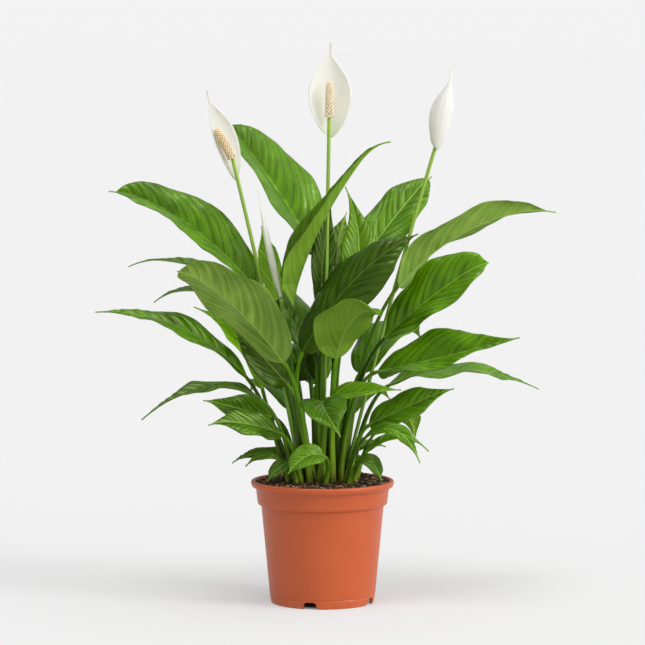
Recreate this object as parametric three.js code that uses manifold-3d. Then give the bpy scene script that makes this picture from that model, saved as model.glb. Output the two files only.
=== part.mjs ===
// Peace lily (Spathiphyllum) in a 17 cm terracotta-coloured plastic nursery pot.
// Millimetres, +Z up, the front faces -Y. The origin is the centre of the pot's base, on the ground.
import * as THREE from "three";
import { mergeVertices } from "three/addons/utils/BufferGeometryUtils.js";
import Module from "manifold-3d";

// Pot: a tapered body, a straight collar band above a step, and a rounded lip.
const potTopRadius = 85; // 17 cm across the lip
const potHeight = 144;
const potBaseRadius = 60;
const potWall = 1.5;
const bodyTopRadius = 73;
const bandRadius = 77.5;
const bandTopRadius = 79.5;
const bandBottom = 113;
const lipBottom = 137;
const lipRound = 1.6;
const floorUnderside = 6; // the floor hangs inside the foot ring
const floorThickness = 2;
const footRingWidth = 2;
const creaseHeight = 10;
const potSegments = 48;

// Drain notches in the foot ring, narrower at the top, in two pairs across the base
const drainTurns = [-14, 66, 166, 246]; // degrees from the front
const drainBottomWidth = 18;
const drainTopWidth = 14;
const drainHeight = 8.3;
const drainReach = 14;

// Soil, with a plain upright hole for each stem
const soilGap = 0.35;
const soilEdge = 139.5;
const soilRise = 2;
const soilLump = 0.8;
const soilMound = { at: [36, 56], height: 5, spread: 20 };
const soilSegments = 32;
const soilRings = 4;
const holeAboveRim = 10;
const stemHoleRadius = 4.1;
const stemHoleSides = 8;

// Crown: the stems stand side by side, upright in the soil, and fan out above it
const stemBottom = 122;
const crownLevel = 145;
const stemSpacing = 9.4;
const stemFan = 0.0139; // outward lean per millimetre from the crown's centre
const stemSettling = 300; // rounds of pushing the stems apart
const stemPull = 0.02; // how strongly each round draws a stem back to its own place

// Leaf: a grooved stalk with a sheath at its foot, then a lens-shaped blade
const stalkHalfWidth = 2.1;
const sheathHalfWidth = 3.2;
const footHalfWidth = 3;
const stalkFlatness = 0.85;
const stalkReach = 0.3; // share of the stalk that already heads along the blade
const bladeHalfThickness = 0.45;
const midribHalfThickness = 0.65;
const bladeTipHalfWidth = 0.7;
const bladeFullness = 0.65; // below 1 the sides run more nearly parallel
const bladeOpening = 0.12; // share of the blade over which the stalk flattens out
const bladeArch = 0.1; // how much each half of the blade bulges upwards
const waveTurns = 14; // radians of margin wave along a blade
const waveOffset = 1.9; // radians between the waves of the two margins
const wavePhase = 2.4; // radians from one leaf's wave to the next
const grooveDepth = 0.65; // height of the stalk's groove as a share of its rounded side
const tipDropStart = 0.78;
const stalkSteps = 4;
const bladeSteps = 9;
const smallBladeSteps = 6;
const smallBladeHalf = 15;
const bladeFacets = 4;

// Flowers
const spatheBelly = 0.8;
const spatheEnd = 0.96;
const spatheTaper = 0.5; // how much the sides draw in towards the point
const flowerStalkRadius = 2.2;
const spatheHalfThickness = 0.5;
const spatheEndHalfWidth = 1.2;
const spatheSteps = 10;
const spatheFacets = 8;
const spatheFirstWrap = 0.3; // share of its wrap that a spathe already has at its base
const spatheWrapGain = 3;
const flowerStalkSteps = 8;
const stalkFacets = 4;
const spadixRadius = 5;
const spadixRows = 10;
const spadixFacets = 10;
const spadixWaist = 0.8; // radius at the base as a share of the spadix's radius
const beadDip = 0.9; // radius between two rows of beads, as a share
const budSteps = 12;
const budPoint = 0.15; // radius at the bud's tip as a share of its radius
const budFoot = 0.2; // share of the swell that is already past at the bud's base
const budSlenderness = 1.6;
const stalkClearance = 0.8;

const colours = {
  terracotta: 0xc4633f,
  soil: 0x2e1f17,
  leaf: 0x3f7d1c,
  paleLeaf: 0x7da83c,
  stalk: 0x86ad3a,
  spathe: 0xf3f1e6,
  spadix: 0xe8d9b0,
};

// Each leaf: the collar where stalk and blade meet, the blade's middle and tip, and the side that
// its upper surface looks to. Then its half width, the degrees each half is folded up, the wave of
// its margins, and how far its tip droops and curls back from the upper face. A belly below 1 puts
// the widest place nearer the collar, neck is the share of the blade at which the sides meet, and
// from the share called point the blade also tapers evenly to its tip.
const leaves = [
  { name: "leaf_top_1", collar: [-8, 33, 413], middle: [-59, 60, 493], tip: [-116, 87, 568],
    face: [67, -62, 42], half: 48, fold: 25, wave: 3, droop: 0, curl: 0,
    belly: 0.78, neck: 1, point: 0.95 },
  { name: "leaf_top_2", collar: [-36, -2, 354], middle: [5, -24, 463], tip: [80, -36, 549],
    face: [-85, -17, 50], half: 38, fold: 42, wave: 3, droop: 22, curl: 0,
    belly: 0.62, neck: 1, point: 0.2 },
  { name: "leaf_top_3", collar: [-1, 1, 370], middle: [2, 12, 424], tip: [11, 21, 483],
    face: [25, -90, 35], half: 16, fold: 15, wave: 1, droop: 0, curl: 0,
    belly: 0.7, neck: 1, point: 0.55 },
  { name: "leaf_top_4", collar: [15, 38, 368], middle: [17, 47, 417], tip: [29, 60, 462],
    face: [10, 90, 40], half: 20, fold: 15, wave: 1, droop: 0, curl: 0,
    belly: 0.75, neck: 1, point: 0.68 },
  { name: "leaf_top_5", collar: [35, 8, 370], middle: [43, 21, 431], tip: [27, 32, 494],
    face: [30, -90, 30], half: 25, fold: 10, wave: 1, droop: 0, curl: 0,
    belly: 0.6, neck: 1, point: 0.45 },
  { name: "leaf_left_1", collar: [-72, 4, 363], middle: [-156, 30, 444], tip: [-256, 53, 487],
    face: [46, -62, 64], half: 38, fold: 28, wave: 3, droop: 6, curl: 0,
    belly: 1.0, neck: 0.96, point: 0.93 },
  { name: "leaf_left_2", collar: [-46, -40, 291], middle: [-106, -86, 363], tip: [-167, -122, 403],
    face: [20, 75, 60], half: 42, fold: 25, wave: 4, droop: 1, curl: 5,
    belly: 0.85, neck: 1, point: 0.95 },
  { name: "leaf_left_3", collar: [-73, 59, 356], middle: [-148, 86, 393], tip: [-236, 105, 393],
    face: [20, -15, 95], half: 15, fold: 12, wave: 3, droop: 9, curl: 0,
    belly: 0.75, neck: 1, point: 0.68 },
  { name: "leaf_left_4", collar: [-77, 34, 322], middle: [-141, 50, 365], tip: [-203, 62, 353],
    face: [20, -10, 95], half: 20, fold: 12, wave: 1, droop: 3, curl: 0,
    belly: 0.75, neck: 1, point: 0.68 },
  { name: "leaf_left_5", collar: [-72, 26, 253], middle: [-99, 32, 308], tip: [-154, 42, 349],
    face: [30, -50, 80], half: 22, fold: 20, wave: 1, droop: 3, curl: 0,
    belly: 0.75, neck: 1, point: 0.6 },
  { name: "leaf_left_6", collar: [-91, 11, 268], middle: [-169, 30, 323], tip: [-273, 53, 342],
    face: [36, -42, 83], half: 22.5, fold: 15, wave: 3, droop: 3, curl: 0,
    belly: 1.1, neck: 1, point: 0.62 },
  { name: "leaf_left_7", collar: [-42, -11, 262], middle: [-76, -21, 301], tip: [-111, -32, 342],
    face: [30, -80, 45], half: 27, fold: 15, wave: 1, droop: 3, curl: 0,
    belly: 0.75, neck: 1, point: 0.6 },
  { name: "leaf_left_8", collar: [-75, -21, 246], middle: [-139, -39, 259], tip: [-212, -56, 224],
    face: [-19, -26, 95], half: 18, fold: 12, wave: 3, droop: 3, curl: 0,
    belly: 0.85, neck: 1, point: 0.6 },
  { name: "leaf_left_9", collar: [-60, -8, 222], middle: [-98, -3, 231], tip: [-142, 8, 240],
    face: [15, -77, 62], half: 20, fold: 12, wave: 2, droop: 2, curl: 0,
    belly: 0.75, neck: 1, point: 0.6 },
  { name: "leaf_left_10", collar: [-49, -28, 204], middle: [-91, -54, 219], tip: [-133, -76, 220],
    face: [7, -71, 70], half: 20, fold: 10, wave: 2, droop: 3, curl: 0,
    belly: 0.75, neck: 1, point: 0.6 },
  { name: "leaf_left_11", collar: [-48, 9, 177], middle: [-77, 17, 175], tip: [-108, 24, 163],
    face: [-10, -50, 85], half: 10, fold: 12, wave: 1, droop: 3, curl: 0,
    belly: 0.75, neck: 1, point: 0.68 },
  { name: "leaf_left_12", collar: [-46, -12, 169], middle: [-67, -18, 177], tip: [-91, -24, 165],
    face: [-20, -55, 80], half: 9, fold: 12, wave: 0, droop: 2, curl: 0,
    belly: 0.75, neck: 1, point: 0.68 },
  { name: "leaf_left_13", collar: [-41, -32, 170], middle: [-51, -40, 165], tip: [-65, -46, 150],
    face: [-30, -70, 60], half: 9, fold: 8, wave: 0, droop: 0, curl: 0,
    belly: 0.75, neck: 1, point: 0.68 },
  { name: "leaf_left_14", collar: [-54, 25, 359], middle: [-64, 28, 404], tip: [-73, 30, 447],
    face: [25, 85, 20], half: 14, fold: 10, wave: 0, droop: 0, curl: 0,
    belly: 0.75, neck: 1, point: 0.68 },
  { name: "leaf_front_1", collar: [3, -38, 178], middle: [-18, -50, 180], tip: [-40, -60, 161],
    face: [0, -70, 75], half: 13, fold: 10, wave: 0, droop: 1, curl: 0,
    belly: 0.75, neck: 1, point: 0.68 },
  { name: "leaf_front_2", collar: [2, -43, 244], middle: [3, -81, 237], tip: [21, -116, 211],
    face: [-5, -40, 85], half: 28, fold: 15, wave: 1, droop: 2, curl: 0,
    belly: 0.75, neck: 1, point: 0.68 },
  { name: "leaf_front_3", collar: [16, -34, 295], middle: [32, -65, 338], tip: [67, -97, 350],
    face: [-45, 77, 45], half: 40, fold: 15, wave: 3, droop: 3, curl: 14,
    belly: 0.9, neck: 1, point: 0.95 },
  { name: "leaf_front_4", collar: [9, -27, 247], middle: [41, -45, 254], tip: [92, -63, 260],
    face: [0, -60, 80], half: 16, fold: 25, wave: 1, droop: 2, curl: 0,
    belly: 0.75, neck: 1, point: 0.68 },
  { name: "leaf_right_1", collar: [52, 31, 412], middle: [92, 56, 462], tip: [132, 80, 504],
    face: [-37, -87, 34], half: 30, fold: 12, wave: 3, droop: 1, curl: 4,
    belly: 0.8, neck: 0.95, point: 0.93 },
  { name: "leaf_right_2", collar: [-23, -24, 301], middle: [35, -38, 384], tip: [112, -47, 442],
    face: [-45, -77, 45], half: 35, fold: -8, wave: 3, droop: 3, curl: 0,
    belly: 0.8, neck: 1, point: 0.75 },
  { name: "leaf_right_3", collar: [90, 11, 376], middle: [178, 29, 444], tip: [279, 47, 462],
    face: [-33, 62, 72], half: 29, fold: 25, wave: 4, droop: 5, curl: 0,
    belly: 0.65, neck: 0.95, point: 0.85 },
  { name: "leaf_right_4", collar: [74, -5, 316], middle: [131, -29, 368], tip: [195, -52, 409],
    face: [-41, -74, 54], half: 37, fold: 20, wave: 4, droop: 0, curl: 6,
    belly: 1.15, neck: 1, point: 0.95 },
  { name: "leaf_right_5", collar: [66, -15, 277], middle: [145, -53, 298], tip: [229, -90, 324],
    face: [-19, -62, 77], half: 35, fold: 25, wave: 5, droop: 1, curl: 0,
    belly: 0.88, neck: 1, point: 0.6 },
  { name: "leaf_right_6", collar: [81, 30, 257], middle: [163, 60, 270], tip: [263, 92, 245],
    face: [5, -20, 96], half: 24, fold: 10, wave: 5, droop: 3, curl: 0,
    belly: 0.9, neck: 1, point: 0.68 },
  { name: "leaf_right_7", collar: [56, -18, 214], middle: [104, -38, 239], tip: [154, -57, 261],
    face: [-25, -77, 59], half: 21, fold: 12, wave: 2, droop: 2, curl: 0,
    belly: 0.72, neck: 1, point: 0.65 },
  { name: "leaf_right_8", collar: [64, 16, 202], middle: [98, 30, 219], tip: [111, 38, 186],
    face: [20, 60, 70], half: 19, fold: 10, wave: 0, droop: 0, curl: 0,
    belly: 0.75, neck: 1, point: 0.68 },
  { name: "leaf_right_9", collar: [50, -40, 201], middle: [86, -59, 211], tip: [114, -71, 175],
    face: [10, -55, 80], half: 13, fold: 12, wave: 1, droop: 0, curl: 0,
    belly: 0.75, neck: 1, point: 0.68 },
  { name: "leaf_right_10", collar: [54, 3, 181], middle: [90, 10, 196], tip: [127, 15, 178],
    face: [5, -40, 90], half: 8, fold: 12, wave: 0, droop: 2, curl: 0,
    belly: 0.75, neck: 1, point: 0.68 },
  { name: "leaf_right_11", collar: [40, 32, 178], middle: [57, 40, 184], tip: [76, 46, 180],
    face: [0, -60, 80], half: 7, fold: 10, wave: 0, droop: 0, curl: 0,
    belly: 0.75, neck: 1, point: 0.68 },
  { name: "leaf_right_12", collar: [30, -4, 163], middle: [41, -5, 170], tip: [55, -4, 172],
    face: [-10, -70, 70], half: 7, fold: 10, wave: 0, droop: 0, curl: 0,
    belly: 0.75, neck: 1, point: 0.68 },
  { name: "leaf_right_13", collar: [40, -36, 169], middle: [56, -46, 173], tip: [69, -52, 152],
    face: [30, -60, 70], half: 10, fold: 10, wave: 0, droop: 0, curl: 0,
    belly: 0.75, neck: 1, point: 0.68 },
  { name: "leaf_mid_1", collar: [-17, 11, 300], middle: [-20, 29, 279], tip: [-7, 42, 259],
    face: [20, -90, 30], half: 20, fold: 12, wave: 1, droop: 0, curl: 0,
    belly: 0.75, neck: 1, point: 0.68 },
  { name: "leaf_mid_2", collar: [-1, 4, 236], middle: [-4, 4, 251], tip: [7, 5, 270],
    face: [30, 80, 30], half: 9, fold: 10, wave: 0, droop: 0, curl: 0,
    belly: 0.75, neck: 1, point: 0.68 },
  { name: "leaf_back_1", collar: [-23, 62, 300], middle: [-58, 98, 352], tip: [-108, 124, 345],
    face: [10, -25, 95], half: 32, fold: 18, wave: 2, droop: 4, curl: 0,
    belly: 0.75, neck: 1, point: 0.68 },
  { name: "leaf_back_2", collar: [10, 50, 330], middle: [24, 90, 392], tip: [20, 125, 405],
    face: [0, -30, 95], half: 34, fold: 18, wave: 2, droop: 4, curl: 0,
    belly: 0.75, neck: 1, point: 0.68 },
  { name: "leaf_back_3", collar: [45, 40, 270], middle: [86, 86, 312], tip: [122, 122, 302],
    face: [-10, -25, 95], half: 32, fold: 18, wave: 2, droop: 4, curl: 0,
    belly: 0.75, neck: 1, point: 0.68 },
  { name: "leaf_back_4", collar: [-34, 44, 225], middle: [-64, 85, 252], tip: [-90, 120, 236],
    face: [5, -20, 95], half: 24, fold: 15, wave: 1, droop: 3, curl: 0,
    belly: 0.75, neck: 1, point: 0.68 },
  { name: "leaf_back_5", collar: [25, 46, 215], middle: [52, 86, 240], tip: [84, 122, 228],
    face: [-5, -20, 95], half: 24, fold: 15, wave: 1, droop: 3, curl: 0,
    belly: 0.75, neck: 1, point: 0.68 },
  { name: "leaf_back_6", collar: [-5, 60, 255], middle: [-12, 94, 292], tip: [4, 124, 284],
    face: [0, -20, 95], half: 28, fold: 15, wave: 1, droop: 3, curl: 0,
    belly: 0.75, neck: 1, point: 0.68 },
];

// Each flower: the spadix from base to tip, the bend of the stalk below it, and the white spathe
// from its base past its middle to its point. wrap is how far round the spathe's section curls.
const flowers = [
  { name: "left", spadixBase: [-106, -12, 529], spadixTip: [-125, -12, 564], stalkBend: [-56, -1, 320],
    spatheBase: [-102, -5, 503], spatheMiddle: [-123, 0, 557], spatheTip: [-136, -10, 608],
    face: [72, -62, 20], half: 23, wrap: 50 },
  { name: "centre", spadixBase: [8, -2, 577], spadixTip: [9, -4, 620], stalkBend: [4, -8, 360],
    spatheBase: [10, 5, 553], spatheMiddle: [9, 12, 610], spatheTip: [10, 6, 665],
    face: [0, -99, 10], half: 29, wrap: 50 },
  { name: "right", spadixBase: [138, 19, 555], spadixTip: [142, 20, 592], stalkBend: [74, 22, 340],
    spatheBase: [136, 15, 538], spatheMiddle: [148, 11, 584], spatheTip: [152, 18, 633],
    face: [-50, 85, 10], half: 34, wrap: 150 },
];
const bud = { base: [-49, 4, 362], bend: [-64, 9, 425], tip: [-77, 12, 494], radius: 5,
  stalkBend: [-34, 19, 250] };

const wasm = await Module();
wasm.setup();

const up = new THREE.Vector3(0, 0, 1);
const toVector = (place) => new THREE.Vector3(...place);

const peaceLily = new THREE.Group();
peaceLily.name = "potted_peace_lily";

function addPiece(name, geometry, colour, roughness) {
  const material = new THREE.MeshStandardMaterial({ color: colour, roughness, metalness: 0 });
  const piece = new THREE.Mesh(geometry, material);
  piece.name = name;
  peaceLily.add(piece);
  return piece;
}

// Solids for cutting

function toSolid(geometry) {
  const bare = geometry.clone();
  bare.deleteAttribute("normal");
  bare.deleteAttribute("uv");
  const merged = mergeVertices(bare, 1e-4);
  return new wasm.Manifold(
    new wasm.Mesh({
      numProp: 3,
      vertProperties: merged.attributes.position.array,
      triVerts: new Uint32Array(merged.index.array),
    }),
  );
}

function toGeometry(solid) {
  const mesh = solid.getMesh();
  const geometry = new THREE.BufferGeometry();
  geometry.setAttribute("position", new THREE.BufferAttribute(mesh.vertProperties, 3));
  geometry.setIndex(new THREE.BufferAttribute(mesh.triVerts, 1));
  return geometry;
}

// A lathe turns about +Y, so its result is stood up on +Z.
function turned(profile, segments) {
  const points = profile.map(([radius, height]) => new THREE.Vector2(radius, height));
  return new THREE.LatheGeometry(points, segments).rotateX(Math.PI / 2);
}

// Pot

function potProfile() {
  const floorTop = floorUnderside + floorThickness;
  const insideBase = potBaseRadius - footRingWidth;
  const lipInside = bandTopRadius - potWall;
  return [
    [0, floorUnderside],
    [insideBase, floorUnderside],
    [insideBase, 0],
    [potBaseRadius, 0],
    [potBaseRadius + 1.2, 0.8],
    [potBaseRadius + 2, 4],
    [potBaseRadius + 2.7, creaseHeight - 0.6],
    [potBaseRadius + 2.4, creaseHeight],
    [potBaseRadius + 2.9, creaseHeight + 0.6],
    [bodyTopRadius, bandBottom],
    [bandRadius - 0.8, bandBottom + 2.2],
    [bandRadius, bandBottom + 5],
    [bandTopRadius, lipBottom - 0.4],
    [potTopRadius - lipRound, lipBottom],
    [potTopRadius, lipBottom + lipRound],
    [potTopRadius, potHeight - lipRound],
    [potTopRadius - 0.5, potHeight - 0.5],
    [potTopRadius - lipRound, potHeight],
    [lipInside + 1, potHeight],
    [lipInside, potHeight - 1],
    [bandTopRadius - potWall, lipBottom],
    [bandRadius - potWall, bandBottom + 5],
    [bandRadius - potWall - 0.7, bandBottom + 3.2],
    [bodyTopRadius - potWall, bandBottom + 1.2],
    [potBaseRadius + 1.2, floorTop + 2],
    [potBaseRadius - 0.2, floorTop],
    [0, floorTop],
  ];
}

function drainNotch(turn) {
  const outline = new THREE.Shape([
    new THREE.Vector2(-drainBottomWidth / 2, -1),
    new THREE.Vector2(drainBottomWidth / 2, -1),
    new THREE.Vector2(drainTopWidth / 2, drainHeight),
    new THREE.Vector2(-drainTopWidth / 2, drainHeight),
  ]);
  const notch = new THREE.ExtrudeGeometry(outline, { depth: drainReach, bevelEnabled: false });
  notch.rotateX(Math.PI / 2);
  notch.translate(0, -(potBaseRadius + 4 - drainReach), 0);
  return notch.rotateZ(THREE.MathUtils.degToRad(turn));
}

function makePot() {
  let pot = toSolid(turned(potProfile(), potSegments));
  for (const turn of drainTurns) {
    pot = pot.subtract(toSolid(drainNotch(turn)));
  }
  addPiece("pot", toGeometry(pot), colours.terracotta, 0.45);
}

// Crown: where each stem stands in the soil

function stemFeet(tops) {
  const wanted = tops.map(([x, y, z]) => {
    const spread = 1 + stemFan * (z - crownLevel);
    return new THREE.Vector2(x / spread, y / spread);
  });
  const feet = wanted.map((foot) => foot.clone());
  for (let round = 0; round < stemSettling; round++) {
    for (let i = 0; i < feet.length; i++) {
      for (let j = 0; j < i; j++) {
        const apart = feet[i].clone().sub(feet[j]);
        const short = stemSpacing - apart.length();
        if (short > 0) {
          apart.setLength(short / 2);
          feet[i].add(apart);
          feet[j].sub(apart);
        }
      }
    }
    if (round < stemSettling / 2) {
      feet.forEach((foot, i) => foot.lerp(wanted[i], stemPull));
    }
  }
  return feet;
}

// Soil

function soilHeight(x, y) {
  const inward = 1 - Math.hypot(x, y) / bandRadius;
  const lumps = Math.sin(x * 0.21 + 1) * Math.cos(y * 0.17) + 0.6 * Math.sin((x - y) * 0.34);
  const fromMound = Math.hypot(x - soilMound.at[0], y - soilMound.at[1]);
  const mound = soilMound.height * Math.exp(-((fromMound / soilMound.spread) ** 2));
  return soilEdge + soilRise * Math.min(1, inward * 3) + soilLump * lumps + mound;
}

function soilBlock() {
  const wallInside = potWall + soilGap;
  const bottom = floorUnderside + floorThickness + soilGap;
  const edgeRadius = bandTopRadius - wallInside;
  const profile = [
    [0, bottom],
    [potBaseRadius - 0.8, bottom],
    [potBaseRadius + 0.7, bottom + 2.2],
    [bodyTopRadius - wallInside, bandBottom + 1.2],
    [bandRadius - wallInside, bandBottom + 5.6],
    [edgeRadius - 0.2, lipBottom - 1],
  ];
  for (let ring = 0; ring <= soilRings; ring++) {
    profile.push([edgeRadius * (1 - ring / soilRings), soilEdge]);
  }
  const block = turned(profile, soilSegments);
  const spots = block.attributes.position;
  for (let i = 0; i < spots.count; i++) {
    if (spots.getZ(i) > soilEdge - 0.01) {
      spots.setZ(i, soilHeight(spots.getX(i), spots.getY(i)));
    }
  }
  return block;
}

function makeSoil(feet) {
  let soil = toSolid(soilBlock());
  const holeDepth = potHeight - stemBottom + holeAboveRim;
  for (const foot of feet) {
    const hole = new THREE.CylinderGeometry(stemHoleRadius, stemHoleRadius, holeDepth, stemHoleSides);
    hole.rotateX(Math.PI / 2);
    hole.translate(foot.x, foot.y, stemBottom - 1 + holeDepth / 2);
    soil = soil.subtract(toSolid(hole));
  }
  addPiece("soil", toGeometry(soil), colours.soil, 0.95);
}

// Sheets: a leaf or a spathe is a row of sections along a line. Each section runs from the left
// margin to the right one, over the upper face and back under the lower face.

function frameSections(places, face, faceAt) {
  const sections = places.map((place, i) => {
    const before = places[Math.max(i - 1, 0)];
    const after = places[Math.min(i + 1, places.length - 1)];
    return { place, along: after.clone().sub(before).normalize() };
  });
  const settle = (section, facing) => {
    section.facing = facing.clone().addScaledVector(section.along, -facing.dot(section.along)).normalize();
    section.aside = section.along.clone().cross(section.facing);
  };
  settle(sections[faceAt], face);
  for (let i = faceAt + 1; i < sections.length; i++) {
    settle(sections[i], sections[i - 1].facing);
  }
  for (let i = faceAt - 1; i >= 0; i--) {
    settle(sections[i], sections[i + 1].facing);
  }
  return sections;
}

function sheetGeometry(sections, across, shapeAt) {
  const corners = [];
  const put = (section, side, rise) => {
    const corner = section.place.clone();
    corner.addScaledVector(section.aside, side).addScaledVector(section.facing, rise);
    return corners.push(corner) - 1;
  };
  const upper = [];
  const lower = [];
  sections.forEach((section, i) => {
    const above = [];
    const below = [];
    for (let k = 0; k <= across; k++) {
      const { side, rise, tilt, over, under } = shapeAt(i, -1 + (2 * k) / across);
      const atMargin = k === 0 || k === across;
      const lean = [-Math.sin(tilt), Math.cos(tilt)];
      if (atMargin) {
        above.push(put(section, side, rise));
        below.push(above[k]);
      } else {
        above.push(put(section, side + over * lean[0], rise + over * lean[1]));
        below.push(put(section, side - under * lean[0], rise - under * lean[1]));
      }
    }
    upper.push(above);
    lower.push(below);
  });
  const faces = [];
  const triangle = (a, b, c) => {
    if (a !== b && b !== c && a !== c) faces.push(a, b, c);
  };
  for (let i = 0; i < sections.length - 1; i++) {
    for (let k = 0; k < across; k++) {
      triangle(upper[i][k], upper[i][k + 1], upper[i + 1][k + 1]);
      triangle(upper[i][k], upper[i + 1][k + 1], upper[i + 1][k]);
      triangle(lower[i][k], lower[i + 1][k + 1], lower[i][k + 1]);
      triangle(lower[i][k], lower[i + 1][k], lower[i + 1][k + 1]);
    }
  }
  const last = sections.length - 1;
  for (let k = 0; k < across; k++) {
    triangle(upper[0][k], lower[0][k], lower[0][k + 1]);
    triangle(upper[0][k], lower[0][k + 1], upper[0][k + 1]);
    triangle(upper[last][k], lower[last][k + 1], lower[last][k]);
    triangle(upper[last][k], upper[last][k + 1], lower[last][k + 1]);
  }
  const geometry = new THREE.BufferGeometry().setFromPoints(corners);
  geometry.setIndex(faces);
  return geometry;
}

// A curve that starts and ends on the given points and passes through the middle one half-way
function arcThrough(start, middle, end) {
  const control = middle.clone().multiplyScalar(2).addScaledVector(start, -0.5).addScaledVector(end, -0.5);
  return new THREE.QuadraticBezierCurve3(start, control, end);
}

// Leaves

function bladeOutline(leaf, share) {
  const belly = Math.pow(Math.min(share / leaf.neck, 1), leaf.belly);
  const taper = Math.min((1 - share) / (1 - leaf.point), 1);
  return taper * Math.pow(4 * belly * (1 - belly), bladeFullness);
}

function leafSections(leaf, foot) {
  const collar = toVector(leaf.collar);
  const bow = toVector(leaf.face).setLength(leaf.curl).addScaledVector(up, leaf.droop);
  const tip = toVector(leaf.tip).add(bow);
  const midrib = arcThrough(collar, toVector(leaf.middle), tip);
  const crown = new THREE.Vector3(foot.x, foot.y, crownLevel);
  const outset = midrib.v1.clone().sub(collar).normalize();
  const bend = collar.clone().addScaledVector(outset, -stalkReach * collar.distanceTo(crown));
  const stalk = new THREE.QuadraticBezierCurve3(crown, bend, collar);
  const places = [new THREE.Vector3(foot.x, foot.y, stemBottom)];
  const shares = [-2];
  for (let i = 0; i < stalkSteps; i++) {
    places.push(stalk.getPoint(i / stalkSteps));
    shares.push(-1 + i / stalkSteps);
  }
  const steps = leaf.half > smallBladeHalf ? bladeSteps : smallBladeSteps;
  for (let i = 0; i <= steps; i++) {
    const share = i / steps;
    const past = Math.max(0, (share - tipDropStart) / (1 - tipDropStart));
    places.push(midrib.getPoint(share).addScaledVector(bow, -(past ** 2)));
    shares.push(share);
  }
  return { places, shares, faceAt: 1 + stalkSteps + Math.round(steps / 2) };
}

// Below the collar share runs from -1 to 0 up the stalk, and above it from 0 to 1 along the blade.
function leafShape(leaf, share, across, phase) {
  if (share <= 0) {
    const sheath = Math.max(0, -share) ** 2;
    const half = share < -1 ? footHalfWidth : stalkHalfWidth + (sheathHalfWidth - stalkHalfWidth) * sheath;
    const deep = half * stalkFlatness;
    const round = Math.sqrt(1 - across * across);
    const groove = across === 0 ? grooveDepth : 1;
    return { side: across * half, rise: 0, tilt: 0, over: deep * round * groove, under: deep * round };
  }
  const spread = bladeOutline(leaf, share);
  const narrow = stalkHalfWidth * (1 - share);
  const half = Math.max(Math.hypot(narrow, leaf.half * spread), bladeTipHalfWidth);
  const open = Math.min(1, share / bladeOpening);
  const fold = THREE.MathUtils.degToRad(leaf.fold) * open;
  const waveAngle = waveTurns * share + phase + (across > 0 ? waveOffset : 0);
  const wave = leaf.wave * spread * across ** 2 * Math.sin(waveAngle);
  const arch = bladeArch * half * open * Math.sin(Math.PI * Math.abs(across));
  const thick = across === 0 ? midribHalfThickness : bladeHalfThickness;
  const stalkThick = stalkHalfWidth * stalkFlatness * Math.sqrt(1 - across * across);
  return {
    side: across * half * Math.cos(fold),
    rise: Math.abs(across) * half * Math.sin(fold) + arch + wave,
    tilt: 0,
    over: thick + (stalkThick * grooveDepth - thick) * (1 - open),
    under: thick + (stalkThick - thick) * (1 - open),
  };
}

function makeLeaf(leaf, foot, index) {
  const { places, shares, faceAt } = leafSections(leaf, foot);
  const sections = frameSections(places, toVector(leaf.face), faceAt);
  const phase = index * wavePhase;
  const shapeAt = (i, across) => leafShape(leaf, shares[i], across, phase);
  const geometry = sheetGeometry(sections, bladeFacets, shapeAt);
  const pale = leaf.face[1] > 0;
  addPiece(leaf.name, geometry, pale ? colours.paleLeaf : colours.leaf, 0.4);
}

// Round stems and buds: a tube whose radius follows its length

function taperedTube(places, radiusAt) {
  const sections = frameSections(places, new THREE.Vector3(0, -1, 0), 0);
  return sheetGeometry(sections, stalkFacets, (i, across) => {
    const radius = radiusAt(i / (places.length - 1));
    const round = radius * Math.sqrt(1 - across * across);
    return { side: across * radius, rise: 0, tilt: 0, over: round, under: round };
  });
}

function makeFlowerStalk(name, foot, bend, top) {
  const crown = new THREE.Vector3(foot.x, foot.y, crownLevel);
  const curve = new THREE.QuadraticBezierCurve3(crown, toVector(bend), toVector(top));
  const places = [new THREE.Vector3(foot.x, foot.y, stemBottom), ...curve.getPoints(flowerStalkSteps)];
  addPiece(name, taperedTube(places, () => flowerStalkRadius), colours.stalk, 0.45);
}

function spatheOutline(share) {
  const belly = Math.pow(Math.min(share / spatheEnd, 1), spatheBelly);
  return 4 * belly * (1 - belly) * (1 - spatheTaper * Math.pow(share, 6));
}

function makeSpathe(flower) {
  const base = toVector(flower.spatheBase);
  const midline = arcThrough(base, toVector(flower.spatheMiddle), toVector(flower.spatheTip));
  const places = midline.getPoints(spatheSteps);
  const sections = frameSections(places, toVector(flower.face), spatheSteps / 2);
  const fullWrap = THREE.MathUtils.degToRad(flower.wrap);
  const geometry = sheetGeometry(sections, spatheFacets, (i, across) => {
    const share = i / spatheSteps;
    const half = Math.max(flower.half * spatheOutline(share), spatheEndHalfWidth);
    const wrap = fullWrap * Math.min(1, spatheFirstWrap + share * spatheWrapGain);
    const radius = half / wrap;
    const turn = wrap * across;
    const thick = spatheHalfThickness;
    const side = radius * Math.sin(turn);
    return { side, rise: radius * (1 - Math.cos(turn)), tilt: turn, over: thick, under: thick };
  });
  addPiece(`spathe_${flower.name}`, geometry, colours.spathe, 0.55);
}

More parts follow.
